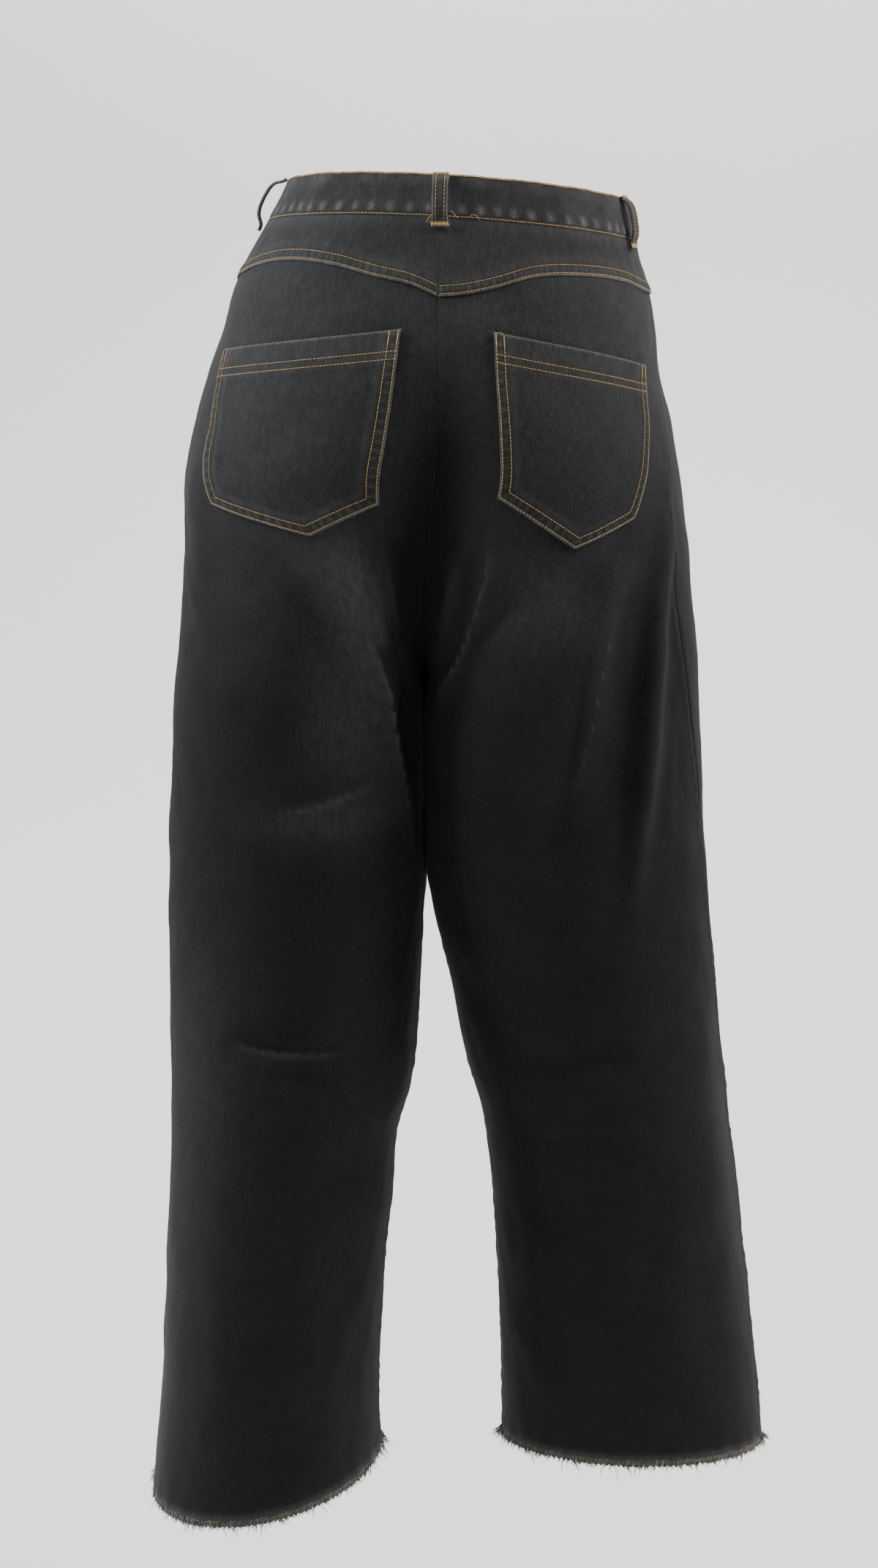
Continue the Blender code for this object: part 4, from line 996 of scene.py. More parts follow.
def yoke_at(side, share, up):
    """Turn, height and lift of a point of a yoke that is given as a height above its lower edge."""
    low = edge_on_column(side, True, share, yoke_height)
    height = low + up
    turn = outer_blend(outseam_turn(side, height), True, share)
    run = share * YOKE_RUN
    pucker = wave(run + 0.0012 * np.sin(90 * run), YOKE_PUCKER, side)
    felled = ease((0.0105 - up) / 0.0022)
    between = bump(up - 0.0044, 0.0026)
    proud = YOKE_PROUD + 0.00055 * felled + 0.00030 * pucker * between
    proud = proud - 0.00032 * bump(up - 0.0016, 0.0007) - 0.00030 * bump(up - 0.0073, 0.0008)
    proud = proud - 0.00045 * bump(up, 0.0008)
    worn = 0.42 * between * pucker**2 + 1.20 * bump(up, 0.0012) + 0.12 * bump(up - 0.012, 0.003)
    return turn, height, proud, worn


def yoke(side):
    name = "yoke_" + SIDE_NAMES[side]
    shares = spaced(YOKE_RUN, YOKE_STEP, EDGE_STEPS)
    low = edge_on_column(side, True, shares, yoke_height)
    high = edge_on_column(side, True, shares, band_edge) - HALF_GAP
    near = np.array((0.00004, 0.0005, 0.0011, 0.0017, 0.0024, 0.0034, 0.0046, 0.0058, 0.0066, 0.0073,
                     0.0080, 0.0088, 0.0097, 0.0107, 0.0118))
    far = np.linspace(0, 1, 15)[1:, None]
    ups = np.concatenate([np.repeat(near[:, None], len(shares), 1),
                          near[-1] + (high - low - near[-1]) * far])
    turns, heights, proud, edge_worn = yoke_at(side, np.broadcast_to(shares, ups.shape), ups)
    points, worn = on_cloth(side, turns, heights, proud)
    points[:, 0, 0] += side * HALF_GAP
    normals = grid_normals(points, plain_normal(side, turns, heights))
    under_band = bump(high[None, :] - low[None, :] - ups, 0.006)
    worn = worn + edge_worn + 0.18 * under_band
    uv = uv_of(side, turns, heights)
    piece = cloth_shell(name + "_cloth", points, normals, CLOTH, uv, worn, CLOTH_PAIR)
    return dress(piece, [name])


def both_sides(place, up, proud):
    """Points and wear at places round the waist: 0 front, 0.5 left hip, 1 back, 1.5 right hip."""
    place, up, proud = np.broadcast_arrays(place, up, proud)
    ring = np.mod(place, 2.0)
    points = np.zeros(place.shape + (3,))
    worn = np.zeros(place.shape)
    for side in SIDE_NAMES:
        here = ring <= 1.0 if side == LEFT else ring > 1.0
        if not here.any():
            continue
        turn = ring[here] if side == LEFT else 2.0 - ring[here]
        height = band_edge(side, turn) + up[here]
        points[here], worn[here] = on_cloth(side, turn, height, proud[here])
    return points, worn


BAND_ROUND = 0.755

# Wrinkles of the waistband: place and height of both ends, reach, rise
BAND_PINCHES = (
    (1.035, 0.028, 1.085, 0.021, 0.0060, 0.0009),
    (1.045, 0.018, 1.105, 0.013, 0.0035, -0.0006),
    (0.890, 0.024, 0.945, 0.020, 0.0040, 0.0004),
    (0.745, 0.022, 0.800, 0.026, 0.0050, 0.0005),
    (1.200, 0.020, 1.270, 0.024, 0.0045, 0.0005),
)


def band_lift(place, up):
    """How far the waistband's face stands out, and its wear."""
    lap = BAND_LIFT * ease((BAND_LIFT_FROM - place) / (BAND_LIFT_FROM - BAND_LIFT_TO))
    run = place * BAND_ROUND / 2
    wobble = run + 0.0014 * np.sin(47 * run) + 0.0009 * np.sin(131 * run + 1.3)
    rib = wave(wobble + 0.10 * up, BAND_PUCKER)
    low_zone = ease((up - 0.0028) / 0.0016) * ease((0.0125 - up) / 0.0060)
    top_zone = ease((up - 0.020) / 0.006)
    lift = BAND_PROUD + lap + 0.00060 * rib * low_zone
    lift = lift - 0.00035 * bump(up - 0.0018, 0.0008)
    lift = lift - 0.00040 * bump(up, 0.0007)
    waves = np.sin(run * 95 + 0.6) * np.sin(run * 41 + 2.0)
    lift = lift + 0.00035 * waves * bump(up - 0.018, 0.010)
    for place_a, up_a, place_b, up_b, reach, rise in BAND_PINCHES:
        a = np.array((place_a * BAND_ROUND / 2, up_a))
        b = np.array((place_b * BAND_ROUND / 2, up_b))
        t = np.clip(((run - a[0]) * (b - a)[0] + (up - a[1]) * (b - a)[1]) / ((b - a) @ (b - a)), 0, 1)
        gap = np.hypot(run - a[0] - t * (b - a)[0], up - a[1] - t * (b - a)[1])
        lift = lift + rise * bump(gap, reach) * (1 - 0.7 * np.abs(2 * t - 1))
    worn = 0.85 * rib**3 * low_zone + 0.22 * top_zone * (0.6 + 0.4 * np.sin(run * 160))
    worn = worn + 0.30 * bump(up - BAND_HEIGHT, 0.0012) + 0.16 * np.clip(waves, 0, 1)
    return lift, worn


def waistband():
    """The waistband: a folded strip with a round top edge, its left end lapped over the right."""
    places = np.linspace(BAND_LAP_END, BAND_UNDER_END, 361)
    face = np.array((0.00004, 0.0005, 0.0011, 0.0018, 0.0025, 0.0032, 0.0042, 0.0055, 0.0070, 0.0085,
                     0.0100, 0.0116, 0.0135, 0.0158, 0.0182, 0.0206, 0.0230, 0.0254, 0.0276, 0.0293))
    half = BAND_THICKNESS / 2
    bend = np.linspace(0, np.pi, 9)[1:-1]
    top_up = BAND_HEIGHT - 0.0012 + 0.0012 * np.sin(bend)
    top_in = half * (1 - np.cos(bend))
    back = face[::-2]
    ups = np.concatenate([face, top_up, back])
    depths = np.concatenate([np.zeros(len(face)), top_in, np.full(len(back), BAND_THICKNESS)])
    lift, face_worn = band_lift(places[:, None], ups[None, :])
    inner = depths[None, :] > 0.5 * BAND_THICKNESS
    lift = np.where(inner, BAND_PROUD + (lift - BAND_PROUD) * 0.6, lift)
    rings, worn = both_sides(places[:, None], ups[None, :], lift - depths[None, :])
    worn = np.where(inner, 0.2, 0.3 * worn + face_worn)
    run = places[:, None] * BAND_ROUND / 2 + 0 * ups[None, :]
    length = np.concatenate([face, BAND_HEIGHT + 0.0015 * bend / np.pi, BAND_HEIGHT * 2 - back])
    uv = np.stack([run, length[None, :] + 0 * run], -1)
    piece = wrapped_tube("waistband_cloth", rings, uv, worn, (DENIM,))
    return dress(piece, ["waistband"])


def pocket_place(corners, across, down):
    """Turn and height inside a pocket's five corners; across runs from the inner edge to the outer."""
    top_inner, top_outer, low_outer, tip, low_inner = [np.array(c)[:, None] for c in corners]
    tip_share = (low_inner[0] - tip[0]) / (low_inner[0] - low_outer[0])
    shape = np.broadcast(across, down).shape
    across = np.broadcast_to(across, shape).ravel()
    down = np.broadcast_to(down, shape).ravel()
    top = top_inner + (top_outer - top_inner) * across
    to_tip = low_inner + (tip - low_inner) * (across / tip_share)
    past_tip = tip + (low_outer - tip) * ((across - tip_share) / (1 - tip_share))
    low = np.where(across <= tip_share, to_tip, past_tip)
    place = top + (low - top) * down
    return place[0].reshape(shape), place[1].reshape(shape)


# Rows on a pocket, as distances from its edges
POCKET_HEM = 0.0250
POCKET_ROW_A, POCKET_ROW_B = 0.0150, 0.0205
EDGE_ROW, INNER_ROW = 0.0016, 0.0072


def pocket_frame(side):
    """Corners of a pocket in metres of cloth, to measure distances from its edges."""
    return [np.array((side * turn * HIP_ROUND * POCKET_STRETCH, height)) for turn, height in POCKETS[side]]


def edge_distance(side, turn, height, first, second):
    """Distance inward from the line through two corners, and the length along it."""
    corners = pocket_frame(side)
    a, b = corners[first], corners[second]
    centre = sum(corners) / len(corners)
    run = (b - a) / np.linalg.norm(b - a)
    normal = np.array((-run[1], run[0]))
    if (centre - a) @ normal < 0:
        normal = -normal
    x = side * turn * HIP_ROUND * POCKET_STRETCH - a[0]
    z = height - a[1]
    return x * normal[0] + z * normal[1], x * run[0] + z * run[1]


def pocket_lift(side, turn, height):
    """How far a pocket's face stands out over its plain layer, and its wear."""
    top, _ = edge_distance(side, turn, height, 0, 1)
    lift = 0.00045 * ease((POCKET_HEM - top) / 0.0016)
    worn = 0.85 * bump(top, 0.0012) + 0.10 * ease((POCKET_HEM - top) / 0.002)
    lift = lift - 0.00025 * (bump(top - POCKET_ROW_A, 0.0008) + bump(top - POCKET_ROW_B, 0.0008))
    nearest = np.full(np.shape(turn), 1.0)
    along = np.zeros(np.shape(turn))
    for k, (first, second) in enumerate(((1, 2), (2, 3), (3, 4), (4, 0))):
        gap, run = edge_distance(side, turn, height, first, second)
        closer = gap < nearest
        nearest = np.where(closer, gap, nearest)
        along = np.where(closer, run + 0.37 * k, along)
    pucker = wave(along + 0.001 * np.sin(110 * along), POCKET_PUCKER, side)
    between = bump(nearest - 0.0044, 0.0026)
    lift = lift + 0.00050 * ease((0.0098 - nearest) / 0.0020) + 0.00028 * pucker * between
    lift = lift - 0.00028 * bump(nearest - EDGE_ROW, 0.0007) - 0.00028 * bump(nearest - INNER_ROW, 0.0008)
    lift = lift - 0.00050 * bump(nearest, 0.0008) - 0.00040 * bump(top, 0.0008)
    belly = 0.0007 * ease((nearest - 0.012) / 0.03) * ease((top - 0.02) / 0.03)
    worn = worn + 1.10 * bump(nearest, 0.0013) + 0.42 * between * pucker**2
    worn = worn + 0.20 * bump(nearest - 0.0112, 0.0022)
    return lift + belly, worn


def back_pocket(side):
    name = "pocket_" + SIDE_NAMES[side]
    across = spaced(POCKET_WIDTH_RUN, POCKET_STEP, POCKET_EDGE_STEPS)
    down = spaced(POCKET_LENGTH_RUN, POCKET_STEP, POCKET_EDGE_STEPS)
    turns, heights = pocket_place(POCKETS[side], across[None, :], down[:, None])
    lift, edge_worn = pocket_lift(side, turns, heights)
    points, worn = on_cloth(side, turns, heights, LAY_GAP + CLOTH + lift)
    normals = grid_normals(points, plain_normal(side, turns, heights))
    uv = np.stack([side * turns * HIP_ROUND * POCKET_STRETCH + 0.3, heights], -1)
    thick = (CLOTH + lift * 0.8)[..., None]
    piece = cloth_shell(name + "_cloth", points, normals, thick, uv, 0.6 * worn + edge_worn, CLOTH_PAIR)
    return dress(piece, [name])


def loop_frame(place):
    """The direction across a belt loop, and the waistband's outward direction there."""
    ends, _ = both_sides(np.array((place, place)), np.array((0.0, BAND_HEIGHT)), BAND_PROUD)
    sides, _ = both_sides(np.array((place - 0.004, place + 0.004)), 0.5 * BAND_HEIGHT, BAND_PROUD)
    up = (ends[1] - ends[0]) / np.linalg.norm(ends[1] - ends[0])
    across = sides[1] - sides[0]
    across = across - up * (across @ up)
    across = across / np.linalg.norm(across)
    return across, np.cross(across, up)


def loop_line(place, stand_off, rises):
    """The middle line of a belt loop's outer face, and the directions along, across and out of it."""
    across, out = loop_frame(place)
    profile = np.array(LOOP_PROFILE)
    share = np.interp(rises, profile[:, 0], profile[:, 1])
    share = np.convolve(np.pad(share, 3, mode="edge"), np.ones(7) / 7, mode="valid")
    base, _ = both_sides(np.full(len(rises), place), rises, 0.0)
    lean = base[-1] - base[0]
    line = base[0] + lean * ((rises - rises[0]) / (rises[-1] - rises[0]))[:, None]
    bulge = BAND_PROUD + LOOP_SEAT + LOOP_THICKNESS + 0.0009 * (1 - share) * (rises < 0.004)
    line = line + out * (bulge + stand_off * share)[:, None]
    along = unit(np.gradient(line, axis=0))
    normal = np.cross(across, along)
    return line, along, across, normal * np.sign((normal @ out).sum())


def belt_loop(name, place, stand_off):
    """A belt loop: a folded strip with two full edges, sewn down at both ends."""
    rises = np.linspace(LOOP_PROFILE[0][0], LOOP_PROFILE[-1][0], 64)
    centre, _, across, normal = loop_line(place, stand_off, rises)
    half = LOOP_WIDTH / 2
    places = np.array((-1.0, -0.96, -0.86, -0.70, -0.54, -0.40, -0.20, 0.0, 0.20, 0.40, 0.54, 0.70, 0.86,
                       0.96, 1.0))
    crown = 0.00045 * bump(np.abs(places) - 0.80, 0.14) - 0.00030 * bump(np.abs(places) - 0.54, 0.07)
    crown = crown - 0.0007 * (np.abs(places) > 0.93) - 0.0002 * (np.abs(places) > 0.98)
    face = np.stack([places * half, crown], 1)
    under = np.stack([places[::-1][1:-1] * half * 0.985, np.full(len(places) - 2, -LOOP_THICKNESS)], 1)
    section = np.concatenate([face, under])
    nip = 1.0 + 0.03 * np.sin(rises * 420 + place * 9)
    rings = centre[:, None, :] + across[None, None, :] * (section[None, :, 0:1] * nip[:, None, None])
    rings = rings + normal[:, None, :] * section[None, :, 1:2]
    worn = 0.80 * bump(np.abs(section[:, 0] / half) - 0.95, 0.10) * (section[:, 1] > -0.001)
    worn = worn[None, :] + 0.10 + 0.15 * np.sin(rises * 700)[:, None] ** 2 * (section[None, :, 1] > 0)
    uv = np.stack([section[None, :, 0] + 0 * rises[:, None], rises[:, None] + 0 * section[None, :, 0]], -1)
    piece = wrapped_tube(name + "_cloth", rings, uv, worn, (DENIM,))
    return dress(piece, [name])


def fly_shield():
    """The plain strip behind the centre front seam."""
    places = np.linspace(SHIELD_FROM, SHIELD_TO, 25)
    heights = np.linspace(SHIELD_TOP, SHIELD_FOOT, 45)
    points = np.zeros((len(heights), len(places), 3))
    for j, place in enumerate(places):
        side = LEFT if place >= 0 else RIGHT
        points[:, j], _ = on_cloth(side, np.full(len(heights), abs(place)), heights, -CLOTH - LAY_GAP)
    like = np.zeros_like(points)
    like[..., 1] = -1.0
    normals = grid_normals(points, like)
    uv = np.stack(np.broadcast_arrays(places[None, :] * 0.5, heights[:, None]), -1)
    worn = np.full(points.shape[:2], 0.15)
    piece = cloth_shell("fly_shield_cloth", points, normals, CLOTH, uv, worn, (INSIDE, INSIDE))
    return dress(piece, ["fly_shield"])


def empty_selection():
    bpy.ops.object.select_all(action="DESELECT")


def stitch_model():
    """One stitch: a short round bar whose ends are drawn in, modelled once."""
    empty_selection()
    bpy.ops.mesh.primitive_cylinder_add(vertices=6, radius=0.5, depth=0.62, end_fill_type="NGON")
    bar = bpy.context.active_object
    bpy.ops.object.mode_set(mode="EDIT")
    bpy.ops.mesh.select_mode(type="FACE")
    for end in (1, -1):
        bpy.ops.mesh.select_all(action="DESELECT")
        bpy.ops.object.mode_set(mode="OBJECT")
        for face in bar.data.polygons:
            face.select = face.normal.z * end > 0.9
        bpy.ops.object.mode_set(mode="EDIT")
        for depth, narrow in ((0.12, 0.84), (0.07, 0.60)):
            bpy.ops.mesh.extrude_region_move(TRANSFORM_OT_translate={"value": (0, 0, depth * end)})
            bpy.ops.transform.resize(value=(narrow, narrow, 1.0))
    bpy.ops.object.mode_set(mode="OBJECT")
    points = np.array([v.co for v in bar.data.vertices])
    faces = [list(face.vertices) for face in bar.data.polygons]
    old = bar.data
    bpy.data.objects.remove(bar, do_unlink=True)
    bpy.data.meshes.remove(old)
    return points, faces


STITCH_POINTS, STITCH_FACES = stitch_model()


def stitches_along(line, normals, pitch=STITCH_PITCH, length=STITCH_LENGTH, thick=STITCH_THICK,
                   shade=0.55):
    """Places, directions and shades of the stitches on a line of points."""
    steps = np.linalg.norm(np.diff(line, axis=0), axis=1)
    run = np.concatenate([[0], np.cumsum(steps)])
    count = max(int(run[-1] / pitch), 1)
    at = (np.arange(count) + 0.5) * run[-1] / count
    at = at + chance.uniform(-0.05, 0.05, count) * pitch
    made = []
    for middle in at:
        start = np.array([np.interp(middle - length / 2, run, line[:, k]) for k in range(3)])
        end = np.array([np.interp(middle + length / 2, run, line[:, k]) for k in range(3)])
        out = np.array([np.interp(middle, run, normals[:, k]) for k in range(3)])
        along = (end - start) / max(np.linalg.norm(end - start), 1e-9)
        out = out - along * (out @ along)
        out = out / np.linalg.norm(out)
        centre = (start + end) / 2 + out * thick * STITCH_RISE
        made.append((centre, along, out, length, thick, shade + chance.uniform(-0.18, 0.18)))
    return made


def thread_piece(name, made):
    """Joins many copies of the stitch into one piece."""
    points, faces, uv, worn = [], [], [], []
    for k, (centre, along, out, length, thick, shade) in enumerate(made):
        beside = np.cross(out, along)
        local = STITCH_POINTS
        arch = (0.25 - local[:, 2] ** 2) * thick * 0.55
        copy = centre + np.outer(local[:, 2] * length, along)
        copy = copy + np.outer(local[:, 1] * thick * 0.92 + arch, out)
        copy = copy + np.outer(local[:, 0] * thick, beside)
        faces += [[v + len(points) for v in face] for face in STITCH_FACES]
        points += copy.tolist()
        uv += np.stack([local[:, 0] * thick + 0.01 * k, local[:, 2] * length], 1).tolist()
        worn += [shade] * len(local)
    mesh = bpy.data.meshes.new(name)
    mesh.from_pydata(points, [], faces)
    piece = finish_piece(mesh, name, np.array(uv), np.array(worn), (THREAD,))
    return dress(piece, [])


def with_normals(point_at, a, b, step_a, step_b, like):
    """Points at two parameters and their outward normals."""
    here = point_at(a, b)
    normal = np.cross(point_at(a + step_a, b) - point_at(a - step_a, b),
                      point_at(a, b + step_b) - point_at(a, b - step_b))
    normal = unit(normal)
    return here, normal * np.sign((normal * like).sum(axis=-1, keepdims=True))


def outward(points):
    """A rough outward direction: away from the upright axis through the waist."""
    away = points.copy()
    away[..., 2] = 0.0
    return away


def yoke_threads(side):
    def point_at(share, up):
        turn, height, proud, _ = yoke_at(side, share, up)
        return on_cloth(side, turn, height, proud)[0]

    made = []
    shares = np.linspace(0.004, 0.996, 240)
    for up, shade in ((0.0016, 0.50), (0.0073, 0.42)):
        ups = np.full(len(shares), up)
        line, normals = with_normals(point_at, shares, ups, 0.002, 0.0010,
                                     outward(point_at(shares, ups)))
        made += stitches_along(line, normals, shade=shade)
    return thread_piece("yoke_stitching_" + SIDE_NAMES[side], made)


def band_threads():
    def point_at(place, up):
        lift, _ = band_lift(place, up)
        return both_sides(place, up, lift)[0]

    made = []
    places = np.linspace(BAND_LAP_END + 0.004, 1.99, 900)
    ups = np.full(len(places), 0.0018)
    line, normals = with_normals(point_at, places, ups, 0.002, 0.0008, outward(point_at(places, ups)))
    made += stitches_along(line, normals, shade=0.62)
    for up, depth, rise, shade in ((BAND_HEIGHT - 0.0010, 0.0, 0.5, 0.80),
                                   (BAND_HEIGHT - 0.0002, 0.0006, 2.0, 0.70)):
        wander = 0.00025 * np.sin(places * 61) + 0.00015 * np.sin(places * 173)
        ups = np.full(len(places), up) + wander
        lift, _ = band_lift(places, ups)
        line = both_sides(places, ups, lift - depth)[0]
        normals = outward(line)
        normals[:, 2] = rise * np.linalg.norm(normals, axis=1)
        normals = unit(normals)
        made += stitches_along(line, normals, shade=shade, thick=STITCH_THICK * 1.15)
    return thread_piece("waistband_stitching", made)


def inward_line(corners, first, second, inset, trim_start, trim_end):
    """A line inside a pocket's edge, in cloth metres, cut short at both ends."""
    a, b = corners[first], corners[second]
    run = (b - a) / np.linalg.norm(b - a)
    normal = np.array((-run[1], run[0]))
    if (sum(corners) / len(corners) - a) @ normal < 0:
        normal = -normal
    return a + run * trim_start + normal * inset, b - run * trim_end + normal * inset


def crossing(line_a, line_b):
    """Where two straight lines meet."""
    (a, b), (c, d) = line_a, line_b
    way_a, way_b = b - a, d - c
    share = np.linalg.solve(np.stack([way_a, -way_b], 1), c - a)[0]
    return a + way_a * share


def pocket_threads(side):
    corners = pocket_frame(side)

    def point_at(x, z):
        turn = x / (side * HIP_ROUND * POCKET_STRETCH)
        lift, _ = pocket_lift(side, turn, z)
        return on_cloth(side, turn, z, LAY_GAP + CLOTH + lift)[0]

    def sew(a, b, shade, **options):
        steps = np.linspace(0, 1, max(int(np.linalg.norm(b - a) / 0.0012), 4))
        x, z = a[0] + (b - a)[0] * steps, a[1] + (b - a)[1] * steps
        line, normals = with_normals(point_at, x, z, 0.0012, 0.0012, outward(point_at(x, z)))
        return stitches_along(line, normals, shade=shade, **options)

    made = []
    edges = ((0, 4), (4, 3), (3, 2), (2, 1))
    for inset, shade, drop in ((EDGE_ROW, 0.55, 0.0012), (INNER_ROW, 0.50, 0.0012)):
        lines = [inward_line(corners, first, second, inset, 0, 0) for first, second in edges]
        meets = [crossing(lines[k], lines[k + 1]) for k in range(3)]
        top = inward_line(corners, 0, 1, drop, 0, 0)
        start, end = crossing(lines[0], top), crossing(lines[3], top)
        stops = [start, *meets, end]
        for k in range(4):
            made += sew(stops[k], stops[k + 1], shade)
        for stop, following in ((stops[0], stops[1]), (stops[4], stops[3])):
            way = (following - stop) / np.linalg.norm(following - stop)
            made += sew(stop, stop + way * 0.0085, 0.70, pitch=0.0011, length=0.0019,
                        thick=STITCH_THICK * 1.35)
    for depth, shade in ((POCKET_ROW_A, 0.55), (POCKET_ROW_B, 0.55)):
        row = inward_line(corners, 0, 1, depth, 0, 0)
        inner = crossing(inward_line(corners, 0, 4, 0.0008, 0, 0), row)
        outer = crossing(inward_line(corners, 1, 2, 0.0008, 0, 0), row)
        made += sew(inner, outer, shade)
    if side == RIGHT:
        top = inward_line(corners, 0, 1, 0.0008, 0, 0)
        foot_a = crossing(inward_line(corners, 0, 4, EDGE_ROW, 0, 0), top)
        foot_b = crossing(inward_line(corners, 0, 4, INNER_ROW, 0, 0), top)
        peak = (foot_a + foot_b) / 2 + np.array((0.0, 0.0012))
        made += sew(foot_a, peak, 0.7) + sew(peak, foot_b, 0.7)
    return thread_piece("pocket_stitching_" + SIDE_NAMES[side], made)


def loop_threads():
    """Two rows of stitching on every belt loop and a bar tack across each of its ends."""
    made = []
    rises = np.linspace(LOOP_PROFILE[0][0] + 0.002, LOOP_PROFILE[-1][0] - 0.0005, 64)
    for _, place, stand_off in LOOPS:
        centre, along, across, normal = loop_line(place, stand_off, rises)
        for share in (-0.54, 0.54):
            line = centre + across * (share * LOOP_WIDTH / 2) - normal * 0.0002
            made += stitches_along(line, normal, shade=0.62)
        foot = centre[0] + normal[0] * 0.0001
        up = along[0]
        for k in range(17):
            share = -1.04 + 2.08 * k / 16
            lean = up + across * (0.45 if k % 2 else -0.45)
            lean = lean / np.linalg.norm(lean)
            spot = foot + across * (share * LOOP_WIDTH / 2) + up * 0.0004
            made.append((spot, lean, normal[0], 0.0034, 0.00080, 0.82 + chance.uniform(-0.15, 0.15)))
        head = centre[-1] + normal[-1] * 0.0001
        for k in range(13):
            share = -0.95 + 1.9 * k / 12
            spot = head + across * (share * LOOP_WIDTH / 2)
            made.append((spot, along[-1], normal[-1], 0.0022, 0.00070, 0.66 + chance.uniform(-0.15, 0.15)))
    return thread_piece("loop_stitching", made)


def fly_threads():
    """The curved double row that holds the fly facing, and the row beside the centre front seam."""
    def point_at(turn, height):
        return on_cloth(LEFT, turn, height)[0]

    made = []
    for inset in (0.0, 0.0060):
        width = FLY_WIDTH - inset
        foot = FLY_FOOT + inset
        straight = np.linspace(-0.008, FLY_BEND, 60)
        bend = np.linspace(0, 1, 40)[1:] * np.pi / 2
        x = np.concatenate([np.full(len(straight), width),
                            FLY_INNER + (width - FLY_INNER) * np.cos(bend)])
        z = np.concatenate([straight, FLY_BEND + (foot - FLY_BEND) * np.sin(bend)])
        turns = x / HIP_ROUND
        line, normals = with_normals(point_at, turns, z, 0.002, 0.001, outward(point_at(turns, z)))
        made += stitches_along(line, normals, shade=0.55)
    heights = np.linspace(-0.010, -0.150, 100)
    turns = np.full(len(heights), 0.0042)
    line, normals = with_normals(point_at, turns, heights, 0.002, 0.001, outward(point_at(turns, heights)))
    made += stitches_along(line, normals, shade=0.55)
    return thread_piece("fly_stitching", made)


def stray_threads():
    """Loose ends of sewing thread at the waistband and the back loop."""
    made = []
    tails = ((1.018, 0.0050, 1.030, 0.0016, 0.0008), (1.052, 0.0020, 1.060, 0.0044, 0.0010),
             (1.060, 0.0030, 1.068, 0.0012, 0.0011), (0.985, 0.0010, 0.978, -0.0030, 0.0012))
    for place_a, up_a, place_b, up_b, off in tails:
        share = np.linspace(0, 1, 12)
        places = place_a + (place_b - place_a) * share
        ups = up_a + (up_b - up_a) * share + 0.0008 * np.sin(share * 5)
        lift, _ = band_lift(places, ups)
        line, _ = both_sides(places, ups, lift + off)
        normals = unit(outward(line))
        made += stitches_along(line, normals, pitch=0.0012, length=0.0018, thick=0.00042, shade=0.7)
    return thread_piece("loose_thread_ends", made)


# The frayed hems: sides of a yarn, depth of the fray strip, spacing of the yarns, yarns in a lock
YARN_SIDES = 3
FRAY_STRIP = 0.0048
YARN_STEP = 0.00042
LOCK_YARNS = 4
# Where tufts hang at the seams of a hem: turn and size
TUFTS = {LEFT: ((0.02, 1.0), (0.49, 1.0)), RIGHT: ((0.98, 1.0), (0.50, 0.8))}
TUFT_YARNS = 70


